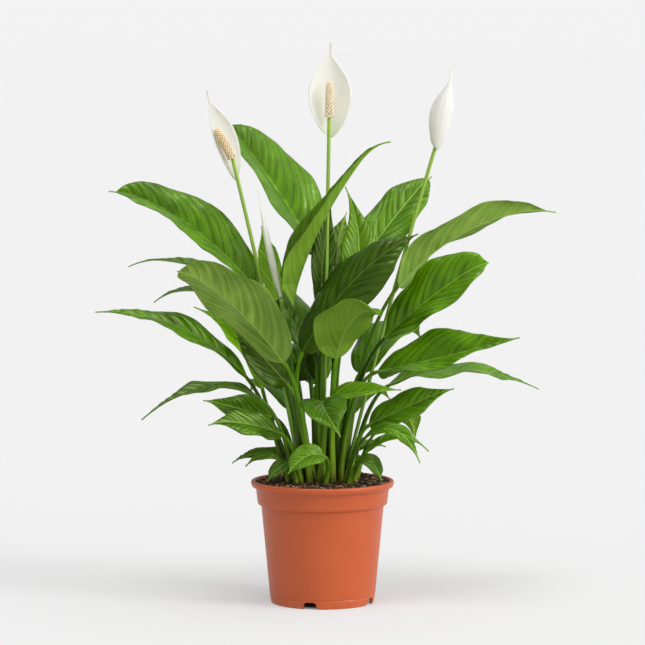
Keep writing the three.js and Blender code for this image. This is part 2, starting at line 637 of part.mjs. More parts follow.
// The spadix is a rounded rod whose surface is beaded by rows of tiny flowers.
function makeSpadix(flower) {
  const base = toVector(flower.spadixBase);
  const axis = toVector(flower.spadixTip).sub(base);
  const length = axis.length();
  const profile = [[0, 0]];
  for (let i = 0; i < spadixRows; i++) {
    const share = i / spadixRows;
    const waist = spadixWaist + (1 - spadixWaist) * Math.min(1, share * 4);
    const dome = Math.sqrt(1 - (2 * Math.max(share, 0.5) - 1) ** 4);
    const bead = i % 2 === 0 ? 1 : beadDip;
    profile.push([spadixRadius * waist * dome * bead, share * length]);
  }
  profile.push([0, length]);
  const points = profile.map(([radius, height]) => new THREE.Vector2(radius, height));
  const rod = new THREE.LatheGeometry(points, spadixFacets);
  const spadix = addPiece(`spadix_${flower.name}`, rod, colours.spadix, 0.7);
  spadix.position.copy(base).addScaledVector(axis, stalkClearance / length);
  spadix.quaternion.setFromUnitVectors(new THREE.Vector3(0, 1, 0), axis.normalize());
}

function makeBud() {
  const base = toVector(bud.base).addScaledVector(up, stalkClearance);
  const curve = arcThrough(base, toVector(bud.bend), toVector(bud.tip));
  const swell = (share) => {
    const turn = Math.PI * (budFoot + (1 - budFoot) * share);
    return bud.radius * Math.max(budPoint, Math.sin(turn) ** budSlenderness);
  };
  addPiece("spathe_bud", taperedTube(curve.getPoints(budSteps), swell), colours.spathe, 0.55);
}

const stemTops = [
  ...leaves.map((leaf) => leaf.collar),
  ...flowers.map((flower) => flower.spadixBase),
  bud.base,
];
const feet = stemFeet(stemTops);

makePot();
makeSoil(feet);
leaves.forEach((leaf, i) => makeLeaf(leaf, feet[i], i));
flowers.forEach((flower, i) => {
  makeFlowerStalk(`stalk_${flower.name}`, feet[leaves.length + i], flower.stalkBend, flower.spadixBase);
  makeSpathe(flower);
  makeSpadix(flower);
});
makeFlowerStalk("stalk_bud", feet[feet.length - 1], bud.stalkBend, bud.base);
makeBud();

export default peaceLily;
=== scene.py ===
import bmesh
import bpy
import math
import numpy as np
from mathutils import Matrix, Vector


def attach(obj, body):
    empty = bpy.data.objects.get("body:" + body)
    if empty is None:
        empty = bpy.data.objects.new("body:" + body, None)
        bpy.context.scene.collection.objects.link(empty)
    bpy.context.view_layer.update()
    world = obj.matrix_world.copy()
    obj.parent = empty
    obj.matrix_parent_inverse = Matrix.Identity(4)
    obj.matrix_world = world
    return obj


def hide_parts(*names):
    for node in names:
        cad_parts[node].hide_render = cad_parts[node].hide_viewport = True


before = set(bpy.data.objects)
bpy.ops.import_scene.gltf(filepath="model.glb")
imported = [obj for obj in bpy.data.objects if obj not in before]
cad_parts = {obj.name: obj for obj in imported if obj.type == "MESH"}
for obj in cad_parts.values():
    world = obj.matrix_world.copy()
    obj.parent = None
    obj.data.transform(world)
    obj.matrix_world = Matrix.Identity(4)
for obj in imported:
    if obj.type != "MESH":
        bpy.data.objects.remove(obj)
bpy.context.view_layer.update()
mm = 0.001


# Camera and light

cameraPlan = {
    "place": (0, -4.0, 0.670),
    "pitch": -4.8,  # degrees below level
    "lens": 188.9,  # for the sensor's 36 mm
    "reach": 1000,
}

studio = {
    "white": "#F3F3F3",
    "roomLight": 0.52,  # mean brightness of the room
    "roomSides": (0.4, -0.06, 0.54),  # how much brighter it is towards +X, +Y and +Z
    # Where each lamp stands, the degrees that it spans, and its power
    "lamps": {
        "keyLamp": ((3.0, -1.6, 2.2), 60, 0.5),
        "keyGlint": ((3.0, -1.6, 2.2), 14, 0.75),
        "sideLamp": ((2.6, -1.5, 0.5), 44, 1.05),
        "topLamp": ((-0.5, -1.1, 3.0), 26, 1.15),
    },
    "floor": "#AFAFAF",
    "floorRoughness": 0.9,
    "floorGlow": 0.32,  # the floor glows evenly: painted light that keeps its shadows pale
    "glowStart": 0.04,  # the glow fades out under the pot: painted shade beneath it and in its drain notches
    "glowFull": 0.062,
    "floorReach": 150,
    "backdropHeight": 16,
    "backdropSides": 48,
}


def linear(colour):
    parts = [int(colour[i : i + 2], 16) / 255 for i in (1, 3, 5)]
    return (*[c / 12.92 if c <= 0.04045 else ((c + 0.055) / 1.055) ** 2.4 for c in parts], 1)


# Links each input of a node to another node or to a socket, or fills it with a value
def fillInputs(tree, node, inputs):
    for name, value in inputs.items():
        socket = node.inputs[name]
        if isinstance(value, bpy.types.Node):
            value = value.outputs[0]
        if isinstance(value, bpy.types.NodeSocket):
            tree.links.new(value, socket)
        else:
            socket.default_value = value


# Adds a node with its settings, and links or fills its inputs
def addNode(tree, kind, inputs=None, **settings):
    node = tree.nodes.new(kind)
    for name, value in settings.items():
        setattr(node, name, value)
    fillInputs(tree, node, inputs or {})
    return node


def newFinish(name):
    material = bpy.data.materials.new(name)
    material.use_nodes = True
    return material, material.node_tree, material.node_tree.nodes["Principled BSDF"]


# A Geometry Nodes tree that gives one mesh back. The sockets that it takes come in the order of inputs.
def newTree(name, inputs, result):
    tree = bpy.data.node_groups.new(name, "GeometryNodeTree")
    for key, kind in inputs.items():
        tree.interface.new_socket(key, in_out="INPUT", socket_type="NodeSocket" + kind)
    tree.interface.new_socket(result, in_out="OUTPUT", socket_type="NodeSocketGeometry")
    return tree, addNode(tree, "NodeGroupInput").outputs


# The kind of socket that each value of a plan needs
def kindsOf(plan):
    return {name: "Int" if isinstance(value, int) else "Float" for name, value in plan.items()}


def addObject(name, data):
    added = bpy.data.objects.new(name, data)
    bpy.context.scene.collection.objects.link(added)
    return added


# Floor and backdrop: one round sheet, and a ring of wall that stands on its edge
def makeStage(paint, cloth):
    sides = studio["backdropSides"]
    reach = studio["floorReach"]
    turns = [2 * k * math.pi / sides for k in range(sides)]
    ring = [(reach * math.cos(turn), reach * math.sin(turn)) for turn in turns]
    floorMesh = bpy.data.meshes.new("floor")
    floorMesh.from_pydata([(x, y, 0) for x, y in ring], [], [tuple(range(sides))])
    wallMesh = bpy.data.meshes.new("backdrop")
    corners = [(x, y, z) for z in (0, studio["backdropHeight"]) for x, y in ring]
    faces = [((k + 1) % sides, k, sides + k, sides + (k + 1) % sides) for k in range(sides)]
    wallMesh.from_pydata(corners, [], faces)
    for stageMesh, material in ((floorMesh, paint), (wallMesh, cloth)):
        stageMesh.materials.append(material)
        stagePiece = addObject(stageMesh.name, stageMesh)
    # The backdrop is only seen: it lights nothing, and no leaf mirrors it
    stagePiece.visible_diffuse = False
    stagePiece.visible_glossy = False


def makeStudio():
    cameraData = bpy.data.cameras.new("camera")
    cameraData.lens = cameraPlan["lens"]
    cameraData.clip_end = cameraPlan["reach"]
    camera = addObject("camera", cameraData)
    camera.location = cameraPlan["place"]
    camera.rotation_euler = (math.radians(90 + cameraPlan["pitch"]), 0, 0)
    bpy.context.scene.camera = camera

    for name, (place, width, power) in studio["lamps"].items():
        lampData = bpy.data.lights.new(name, "SUN")
        lampData.angle = math.radians(width)
        lampData.energy = power
        lamp = addObject(name, lampData)
        lamp.location = place
        lamp.rotation_euler = Vector(place).to_track_quat("Z", "Y").to_euler()

    # The room is brightest on the lamp's side and overhead, and a little brighter behind the camera
    world = bpy.data.worlds.new("room")
    world.use_nodes = True
    tree = world.node_tree
    direction = addNode(tree, "ShaderNodeTexCoord").outputs["Generated"]
    sided = addNode(
        tree, "ShaderNodeVectorMath", {0: direction, 1: studio["roomSides"]}, operation="DOT_PRODUCT"
    )
    strength = addNode(
        tree, "ShaderNodeMath", {0: sided.outputs["Value"], 1: studio["roomLight"]}, operation="ADD"
    )
    background = {"Color": linear(studio["white"]), "Strength": strength}
    fillInputs(tree, tree.nodes["Background"], background)
    bpy.context.scene.world = world
    bpy.context.scene.view_settings.view_transform = "Standard"

    # Matt painted floor with a glow of its own: painted light that keeps it even and pale, so it only takes a
    # soft shadow. The glow fades out under the pot, painted shade there.
    paint, tree, surface = newFinish("floorPaint")
    place = addNode(tree, "ShaderNodeTexCoord").outputs["Object"]
    fromMiddle = addNode(tree, "ShaderNodeVectorMath", {0: place}, operation="LENGTH").outputs["Value"]
    spread = {
        "Value": fromMiddle,
        "From Min": studio["glowStart"],
        "From Max": studio["glowFull"],
        "To Max": studio["floorGlow"],
    }
    painted = {
        "Base Color": linear(studio["floor"]),
        "Roughness": studio["floorRoughness"],
        "Specular IOR Level": 0.0,
        "Emission Color": linear(studio["white"]),
        "Emission Strength": addNode(tree, "ShaderNodeMapRange", spread, interpolation_type="SMOOTHSTEP"),
    }
    fillInputs(tree, surface, painted)
    # Backdrop all round: a lit white cloth far away, as bright as the floor
    cloth, tree, surface = newFinish("backdropCloth")
    lit = {
        "Base Color": (0, 0, 0, 1),
        "Specular IOR Level": 0.0,
        "Emission Color": linear(studio["white"]),
        "Emission Strength": 1.0,
    }
    fillInputs(tree, surface, lit)
    makeStage(paint, cloth)
    print("studio: camera, lamps, room, floor and backdrop")


# Plain mesh from corners in millimetres
def makeMesh(name, corners, faces):
    mesh = bpy.data.meshes.new(name)
    mesh.from_pydata((np.asarray(corners) * mm).tolist(), [], faces)
    mesh.shade_smooth()
    return mesh


def store(mesh, name, values, kind="FLOAT", domain="POINT"):
    attribute = mesh.attributes.new(name, kind, domain)
    field = "vector" if kind == "FLOAT_VECTOR" else "value"
    attribute.data.foreach_set(field, np.ascontiguousarray(values, np.float32).ravel())


def setInputs(modifier, values):
    for item in modifier.node_group.interface.items_tree:
        if item.item_type == "SOCKET" and item.in_out == "INPUT" and item.name in values:
            modifier[item.identifier] = values[item.name]


# Runs a Geometry Nodes tree on a mesh and keeps the result as a plain mesh object
def growPiece(name, mesh, tree, values):
    seed = addObject(name + "Seed", mesh)
    modifier = seed.modifiers.new("grow", "NODES")
    modifier.node_group = tree
    setInputs(modifier, values)
    bpy.context.view_layer.update()
    evaluated = seed.evaluated_get(bpy.context.evaluated_depsgraph_get())
    grown = bpy.data.meshes.new_from_object(evaluated)
    seed.modifiers.remove(modifier)
    bpy.data.objects.remove(seed)
    grown.name = name
    return addObject(name, grown)


def finishPiece(piece, node):
    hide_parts(node)
    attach(piece, "root")


# Millimetres: the collar where stalk and blade meet, the blade's middle and tip, and the side its
# upper face looks to; then half width, degrees folded up, margin wave, and how far the tip droops
# and curls back. Belly moves the widest place, the sides meet at the neck, the blade tapers evenly
# from the share called point, and a tone value makes the whole leaf lighter or darker than the others:
# partly its own colour, partly painted shade that darkens some leaves and painted light that lightens
# others. A second tone value paints shade on one half of the blade only, and young mixes in the
# yellower green of a new leaf. A leaf has the default of each value that its row doesn't give.
leafColumns = ("name", "collar", "middle", "tip", "face", "half", "fold")

leafDefaults = {
    "wave": 0, "droop": 0, "curl": 0, "belly": 0.75, "neck": 1, "point": 0.68,
    "tone": 0.0, "leftTone": 0.0, "young": 0.0,
}


def leafRow(*values, **others):
    return {**leafDefaults, **dict(zip(leafColumns, values)), **others}


leaves = [
    leafRow("leaf_top_1", (-8, 33, 413), (-59, 60, 493), (-116, 87, 568), (67, -62, 42), 48, 25, wave=3,
            belly=0.78, point=0.95),
    leafRow("leaf_top_2", (-36, -2, 354), (5, -24, 463), (80, -36, 549), (-85, -17, 50), 38, 42, wave=3,
            droop=22, belly=0.62, point=0.2, tone=-0.12, young=0.35, leftTone=-0.4),
    leafRow("leaf_top_3", (-1, 1, 370), (2, 12, 424), (11, 21, 483), (25, -90, 35), 16, 15, wave=1,
            belly=0.7, point=0.55, tone=-0.6),
    leafRow("leaf_top_4", (15, 38, 368), (17, 47, 417), (29, 60, 462), (10, 90, 40), 20, 15, wave=1,
            tone=0.05),
    leafRow("leaf_top_5", (35, 8, 370), (43, 21, 431), (27, 32, 494), (30, -90, 30), 25, 10, wave=1,
            belly=0.6, point=0.45, tone=-0.3, young=0.3),
    leafRow("leaf_left_1", (-72, 4, 363), (-156, 30, 444), (-256, 53, 487), (46, -62, 64), 38, 28, wave=3,
            droop=6, belly=1.0, neck=0.96, point=0.93),
    leafRow("leaf_left_2", (-46, -40, 291), (-106, -86, 363), (-167, -122, 403), (20, 75, 60), 41, 18,
            wave=4, droop=1, curl=5, belly=0.85, point=0.95, tone=0.1, leftTone=-0.2),
    leafRow("leaf_left_3", (-73, 59, 356), (-148, 86, 393), (-236, 105, 393), (20, -15, 95), 15, 12, wave=3,
            droop=9),
    leafRow("leaf_left_4", (-77, 34, 322), (-141, 50, 365), (-203, 62, 353), (20, -10, 95), 20, 12, wave=1,
            droop=3),
    leafRow("leaf_left_5", (-72, 26, 253), (-99, 32, 308), (-154, 42, 349), (30, -50, 80), 22, 20, wave=1,
            droop=3, point=0.6, tone=0.4, young=0.6),
    leafRow("leaf_left_6", (-91, 11, 268), (-169, 30, 323), (-273, 53, 342), (36, -42, 83), 22.5, 15,
            wave=3, droop=3, belly=1.1, point=0.62),
    leafRow("leaf_left_7", (-42, -11, 262), (-76, -21, 301), (-111, -32, 342), (30, -80, 45), 27, 15,
            wave=1, droop=3, point=0.6, tone=-0.62),
    leafRow("leaf_left_8", (-75, -21, 246), (-139, -39, 259), (-212, -56, 224), (-19, -26, 95), 18, 12,
            wave=3, droop=3, belly=0.85, point=0.6, tone=-0.45),
    leafRow("leaf_left_9", (-60, -8, 222), (-98, -3, 231), (-142, 8, 240), (15, -77, 62), 20, 12, wave=2,
            droop=2, point=0.6, tone=0.05),
    leafRow("leaf_left_10", (-49, -28, 204), (-91, -54, 219), (-133, -76, 220), (7, -71, 70), 20, 10,
            wave=2, droop=3, point=0.6, tone=-0.3),
    leafRow("leaf_left_11", (-48, 9, 177), (-77, 17, 175), (-108, 24, 163), (-10, -50, 85), 10, 12, wave=1,
            droop=3, tone=-0.1),
    leafRow("leaf_left_12", (-46, -12, 169), (-67, -18, 177), (-91, -24, 165), (-20, -55, 80), 9, 12,
            droop=2, tone=-0.2),
    leafRow("leaf_left_13", (-41, -32, 170), (-51, -40, 165), (-65, -46, 150), (-30, -70, 60), 11, 8,
            point=0.8, tone=-0.45),
    leafRow("leaf_left_14", (-54, 25, 359), (-64, 28, 404), (-73, 30, 447), (25, 85, 20), 14, 10, tone=0.35,
            young=0.5),
    leafRow("leaf_front_1", (3, -38, 178), (-18, -50, 180), (-40, -60, 161), (0, -70, 75), 17, 10, droop=1,
            point=0.85, tone=-0.15, young=0.15),
    leafRow("leaf_front_2", (2, -43, 244), (3, -81, 237), (21, -116, 211), (-5, -40, 85), 28, 15, wave=1,
            droop=2, tone=-0.35),
    leafRow("leaf_front_3", (16, -34, 295), (32, -65, 338), (67, -97, 350), (-45, 77, 45), 40, 15, wave=3,
            droop=3, curl=14, belly=0.9, point=0.95, tone=-0.3, young=0.45),
    leafRow("leaf_front_4", (9, -27, 247), (41, -45, 254), (92, -63, 260), (0, -60, 80), 16, 25, wave=1,
            droop=2, tone=0.1, young=0.3),
    leafRow("leaf_right_1", (52, 31, 412), (92, 56, 462), (132, 80, 504), (-37, -87, 34), 30, 12, wave=3,
            droop=1, curl=4, belly=0.8, neck=0.95, point=0.93),
    leafRow("leaf_right_2", (-23, -24, 301), (35, -38, 384), (112, -47, 442), (-45, -77, 45), 35, -8,
            wave=3, droop=3, belly=0.8, point=0.75, tone=-0.64),
    leafRow("leaf_right_3", (90, 11, 376), (178, 29, 444), (279, 47, 462), (-33, 62, 72), 29, 25, wave=4,
            droop=5, belly=0.65, neck=0.95, point=0.85),
    leafRow("leaf_right_4", (74, -5, 316), (131, -29, 368), (195, -52, 409), (-41, -74, 54), 37, 20, wave=4,
            curl=6, belly=1.15, point=0.95, tone=0.15),
    leafRow("leaf_right_5", (66, -15, 277), (145, -53, 298), (229, -90, 324), (-19, -62, 77), 35, 25,
            wave=5, droop=1, belly=0.88, point=0.6, tone=0.12),
    leafRow("leaf_right_6", (81, 30, 257), (163, 60, 270), (263, 92, 245), (5, -20, 96), 24, 10, wave=5,
            droop=3, belly=0.9),
    leafRow("leaf_right_7", (56, -18, 214), (104, -38, 239), (154, -57, 261), (-25, -77, 59), 21, 12,
            wave=2, droop=2, belly=0.72, point=0.65, tone=0.08),
    leafRow("leaf_right_8", (64, 16, 202), (98, 30, 219), (111, 38, 186), (20, 60, 70), 19, 10, tone=0.45,
            young=0.2),
    leafRow("leaf_right_9", (50, -40, 201), (86, -59, 211), (114, -71, 175), (10, -55, 80), 13, 12, wave=1),
    leafRow("leaf_right_10", (54, 3, 181), (90, 10, 196), (127, 15, 178), (5, -40, 90), 8, 12, droop=2),
    leafRow("leaf_right_11", (40, 32, 178), (57, 40, 184), (76, 46, 180), (0, -60, 80), 7, 10, tone=-0.2),
    leafRow("leaf_right_12", (30, -4, 163), (41, -5, 170), (55, -4, 172), (-10, -70, 70), 7, 10, tone=-0.3),
    leafRow("leaf_right_13", (40, -36, 169), (56, -46, 173), (69, -52, 152), (30, -60, 70), 13, 10,
            point=0.85, tone=-0.4),
    leafRow("leaf_mid_1", (-17, 11, 300), (-20, 29, 279), (-7, 42, 259), (20, -90, 30), 20, 12, wave=1,
            tone=-0.6),
    leafRow("leaf_mid_2", (-1, 4, 236), (-4, 4, 251), (7, 5, 270), (30, 80, 30), 9, 10),
    leafRow("leaf_back_1", (-23, 62, 300), (-58, 98, 352), (-108, 124, 345), (10, -25, 95), 32, 18, wave=2,
            droop=4),
    leafRow("leaf_back_2", (10, 50, 330), (24, 90, 392), (20, 125, 405), (0, -30, 95), 34, 18, wave=2,
            droop=4),
    leafRow("leaf_back_3", (45, 40, 270), (86, 86, 312), (122, 122, 302), (-10, -25, 95), 32, 18, wave=2,
            droop=4),
    leafRow("leaf_back_4", (-34, 44, 225), (-64, 85, 252), (-90, 120, 236), (5, -20, 95), 24, 15, wave=1,
            droop=3),
    leafRow("leaf_back_5", (25, 46, 215), (52, 86, 240), (84, 122, 228), (-5, -20, 95), 24, 15, wave=1,
            droop=3),
    leafRow("leaf_back_6", (-5, 60, 255), (-12, 94, 292), (4, 124, 284), (0, -20, 95), 28, 15, wave=1,
            droop=3),
]

flowers = [
    # The left flower's tone value darkens its spathe: painted shade
    {"name": "left", "spadixBase": (-106, -12, 529), "spadixTip": (-125, -12, 564),
     "stalkBend": (-56, -1, 320), "spatheBase": (-102, -5, 503), "spatheMiddle": (-123, 0, 557),
     "spatheTip": (-136, -10, 608),
     "face": (72, -62, 20), "half": 23, "wrap": 50, "tone": -0.22, "ripe": 0.45},
    {"name": "centre", "spadixBase": (8, -2, 577), "spadixTip": (9, -4, 620), "stalkBend": (4, -8, 360),
     "spatheBase": (10, 5, 553), "spatheMiddle": (9, 12, 610), "spatheTip": (10, 6, 665),
     "face": (0, -99, 10), "half": 29, "wrap": 50},
    {"name": "right", "spadixBase": (138, 19, 555), "spadixTip": (142, 20, 592), "stalkBend": (74, 22, 340),
     "spatheBase": (136, 15, 538), "spatheMiddle": (148, 11, 584), "spatheTip": (152, 18, 633),
     "face": (-50, 85, 10), "half": 34, "wrap": 150},
]

bud = {
    "base": (-49, 4, 362),
    "bend": (-64, 9, 425),
    "tip": (-77, 12, 494),
    "radius": 4.4,
    "stalkBend": (-34, 19, 250),
    # its tone value lightens the bud: painted light
    "tone": 0.14,
}


# Leaves

leafPlan = {
    "stemBottom": 122,
    "crownLevel": 145,
    "stalkHalf": 2.1,
    "sheathHalf": 4.2,
    "sheathFade": 1.3,
    "footHalf": 3,
    "stalkFlatness": 0.85,
    "stalkReach": 0.3,  # share of the stalk that already heads along the blade
    "kneeSwell": 0.22,  # the stalk is a little thicker just below the blade
    "kneePlace": -0.07,
    "kneeLength": 0.06,
    "bladeThick": 0.45,
    "midribThick": 0.65,
    "tipHalf": 0.7,
    "fullness": 0.65,  # below 1 the sides run more nearly parallel
    "opening": 0.12,
    "arch": 0.1,
    "waveTurns": 14,
    "waveOffset": 1.9,
    "groove": 0.65,
    "dropStart": 0.78,
    "veinPairs": 7,
    "veinsPerLength": 0.022,  # side veins added for each millimetre of blade
    "veinUneven": 0.16,  # how far the gaps differ, as a share of one gap
    "veinLean": 1.2,  # millimetres forward for each millimetre out from the midrib
    "veinCurve": 1.6,  # how much more they lean near the margin
    "stalkSteps": 14,
    "bladeSteps": 150,
    "across": 34,
    "ridgeHalf": 1.4,  # the midrib's thickening, in millimetres to each side
    "grooveHalf": 0.45,  # the groove's half width as a share of the stalk's
    "sideShift": 0.37,  # the veins of one half start this share of a gap before the other's
    "veinStart": 3,  # millimetres from the midrib over which the veins fade in
    "marginFade": 5,  # the veins fade out over one part in this of the half width
    "tipFade": 8,
    "phaseStep": 2.4,  # from one leaf's waves to the next leaf's
    "freshStep": 0.618,  # from one leaf's pattern to the next leaf's
    "leftToneEdge": 6,  # how sharply the painted shade of one half ends at the midrib
}

reliefPlan = {
    "Quilt Height": 1.7 * mm,  # the blade bulges between its side veins
    "Unevenness": 3.4 * mm,
    "Lump Size": 40 * mm,
    "Margin Ripple": 3.0 * mm,
    "Ripple Size": 16 * mm,
}


def unit(vectors):
    return vectors / np.linalg.norm(vectors, axis=-1, keepdims=True)


def bezierPoints(start, control, end, shares):
    t = np.asarray(shares)[:, None]
    return (1 - t) ** 2 * start + 2 * t * (1 - t) * control + t**2 * end


# The control point of a curve that passes through the middle half-way
def throughMiddle(start, middle, end):
    return 2 * middle - 0.5 * start - 0.5 * end


# Each section's own directions across its line: the way the upper face looks, and aside
def frameSections(places, face, faceAt):
    after = np.vstack([places[1:], places[-1:]])
    before = np.vstack([places[:1], places[:-1]])
    along = unit(after - before)
    facing = np.zeros_like(places)
    order = [faceAt, *range(faceAt + 1, len(places)), *range(faceAt - 1, -1, -1)]
    for i in order:
        if i == faceAt:
            wanted = np.asarray(face, float)
        elif i > faceAt:
            wanted = facing[i - 1]
        else:
            wanted = facing[i + 1]
        facing[i] = unit(wanted - wanted.dot(along[i]) * along[i])
    return facing, np.cross(along, facing)


# Corners of a closed sheet: side, rise and thickness are arrays of sections by columns
def sheetCorners(places, facing, aside, side, rise, over, under, tilt=0.0):
    def lifted(thickness):
        sideways = side - thickness * np.sin(tilt)
        upwards = rise + thickness * np.cos(tilt)
        return places[:, None] + aside[:, None] * sideways[..., None] + facing[:, None] * upwards[..., None]

    upper = lifted(over)
    lower = lifted(-under)
    margins = lifted(0 * over)
    upper[:, [0, -1]] = margins[:, [0, -1]]
    return np.concatenate([upper, lower[:, -2:0:-1]], axis=1)


# Faces of a tube of sections, closed at both ends
def tubeFaces(sections, columns):
    faces = []
    for i in range(sections - 1):
        for k in range(columns):
            a = i * columns + k
            b = i * columns + (k + 1) % columns
            faces.append((a, b, b + columns, a + columns))
    faces.append(tuple(range(columns - 1, -1, -1)))
    faces.append(tuple((sections - 1) * columns + k for k in range(columns)))
    return faces


def bladeOutline(leaf, share):
    belly = np.minimum(share / leaf["neck"], 1) ** leaf["belly"]
    taper = np.minimum((1 - share) / (1 - leaf["point"]), 1)
    return taper * (4 * belly * (1 - belly)) ** leafPlan["fullness"]


# Where a CAD stem stands: the middle of its lowest corners, in millimetres
def footOf(node):
    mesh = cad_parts[node].data
    corners = np.array([corner.co for corner in mesh.vertices]) / mm
    lowest = corners[corners[:, 2] < corners[:, 2].min() + 0.5]
    return lowest.mean(axis=0)


def leafLine(leaf, foot):
    plan = leafPlan
    collar = np.array(leaf["collar"], float)
    bow = leaf["curl"] * unit(np.array(leaf["face"], float)) + (0, 0, leaf["droop"])
    tip = np.array(leaf["tip"], float) + bow
    control = throughMiddle(collar, np.array(leaf["middle"], float), tip)
    crown = np.array([foot[0], foot[1], plan["crownLevel"]])
    bend = collar - plan["stalkReach"] * np.linalg.norm(collar - crown) * unit(control - collar)
    stalkShares = np.arange(plan["stalkSteps"]) / plan["stalkSteps"]
    bladeShares = np.linspace(0, 1, plan["bladeSteps"] + 1)
    blade = bezierPoints(collar, control, tip, bladeShares)
    past = np.maximum(0, (bladeShares - plan["dropStart"]) / (1 - plan["dropStart"]))
    blade -= np.outer(past**2, bow)
    stalk = bezierPoints(crown, bend, collar, stalkShares)
    places = np.vstack([[foot[0], foot[1], plan["stemBottom"]], stalk, blade])
    shares = np.concatenate([[-2], stalkShares - 1, bladeShares])
    return places, shares


# Half width, cross-section and veins of one leaf at each section and column
def leafShape(leaf, shares, lengths, phase):
    plan = leafPlan
    t = np.linspace(-1, 1, plan["across"] + 1)
    share = shares[:, None]
    blade = np.clip(share, 0, 1)
    opened = np.minimum(1, blade / plan["opening"])
    a = t + (np.sin(np.pi / 2 * t) - t) * (1 - opened)
    rounded = np.sqrt(np.maximum(0, 1 - a**2))

    sheath = np.clip(-share, 0, 1) ** plan["sheathFade"]
    knee = 1 + plan["kneeSwell"] * np.exp(-(((share - plan["kneePlace"]) / plan["kneeLength"]) ** 2))
    stalkHalf = (plan["stalkHalf"] + (plan["sheathHalf"] - plan["stalkHalf"]) * sheath) * knee
    stalkHalf = np.where(share < -1, plan["footHalf"], stalkHalf)
    spread = bladeOutline(leaf, blade)
    narrow = stalkHalf * (1 - blade)
    bladeHalf = np.maximum(np.hypot(narrow, leaf["half"] * spread), plan["tipHalf"])
    half = np.where(share > 0, bladeHalf, stalkHalf)

    fold = math.radians(leaf["fold"]) * opened
    waveAngle = plan["waveTurns"] * blade + phase + np.where(a > 0, plan["waveOffset"], 0)
    wave = leaf["wave"] * spread * a**2 * np.sin(waveAngle)
    arch = plan["arch"] * half * opened * np.sin(np.pi * np.abs(a))
    side = a * half * np.cos(fold)
    rise = np.abs(a) * half * np.sin(fold) + (arch + wave) * (share > 0)

    ridge = np.exp(-((a * half / plan["ridgeHalf"]) ** 2))
    thick = plan["bladeThick"] + (plan["midribThick"] - plan["bladeThick"]) * ridge
    deep = stalkHalf * plan["stalkFlatness"] * rounded
    groove = 1 - (1 - plan["groove"]) * np.exp(-((a / plan["grooveHalf"]) ** 2))
    over = thick * opened + deep * groove * (1 - opened)
    under = thick * opened + deep * (1 - opened)

    out = np.abs(a) * half
    reach = np.maximum(leaf["half"], 1)
    start = lengths[:, None] - out * plan["veinLean"] - plan["veinCurve"] * out**2 / (2 * reach)
    pairs = plan["veinPairs"] + plan["veinsPerLength"] * lengths[-1]
    vein = pairs * start / lengths[-1] + np.where(a > 0, plan["sideShift"], 0)
    vein = vein + plan["veinUneven"] * (np.sin(1.9 * vein + phase) + 0.6 * np.sin(4.3 * vein - phase))
    fade = opened * np.clip(out / plan["veinStart"], 0, 1)
    fade = fade * np.clip((1 - np.abs(a)) * plan["marginFade"], 0, 1)
    fade = fade * np.clip((1 - blade) * plan["tipFade"], 0, 1)
    return {"side": side, "rise": rise, "over": over, "under": under, "across": a, "out": out,
            "vein": vein, "fade": fade}


def wrapped(grid):
    return np.concatenate([grid, grid[:, -2:0:-1]], axis=1)


def leafMesh(leaf, foot, index):
    places, shares = leafLine(leaf, foot)
    faceAt = 1 + leafPlan["stalkSteps"] + leafPlan["bladeSteps"] // 2
    facing, aside = frameSections(places, leaf["face"], faceAt)
    firstBlade = 1 + leafPlan["stalkSteps"]
    gaps = np.linalg.norm(np.diff(places, axis=0), axis=1)
    lengths = np.concatenate([[0], np.cumsum(gaps)])
    lengths = lengths - lengths[firstBlade]
    shape = leafShape(leaf, shares, lengths, index * leafPlan["phaseStep"])
    corners = sheetCorners(places, facing, aside, shape["side"], shape["rise"], shape["over"], shape["under"])
    sections, columns = corners.shape[:2]
    mesh = makeMesh(leaf["name"] + "Blank", corners.reshape(-1, 3), tubeFaces(sections, columns))
    full = np.ones((sections, leafPlan["across"] + 1))
    store(mesh, "share", wrapped(full * shares[:, None]))
    store(mesh, "across", wrapped(shape["across"] * full))
    for name in ("out", "vein", "fade"):
        store(mesh, name, wrapped(shape[name]))
    store(mesh, "lift", np.repeat(facing[:, None], columns, axis=1), "FLOAT_VECTOR")
    # Painted shade on one half of the blade, darkened from the midrib out
    leftHalf = np.clip(0.5 - shape["across"] * leafPlan["leftToneEdge"], 0, 1)
    # Tone over the whole leaf: partly its own colour, partly painted shade and painted light
    store(mesh, "tone", wrapped(leaf["tone"] + leaf["leftTone"] * leftHalf))
    store(mesh, "fresh", np.full(sections * columns, (index * leafPlan["freshStep"]) % 1))
    store(mesh, "young", np.full(sections * columns, leaf["young"]))
    # Zone 0 is the stalk, 1 the blade's upper face and 2 its lower face
    bladeRing = [1] * leafPlan["across"] + [2] * (columns - leafPlan["across"])
    zones = [0] * (firstBlade * columns) + bladeRing * (sections - 1 - firstBlade) + [0, 1]
    store(mesh, "zone", zones, "FLOAT", "FACE")
    return mesh


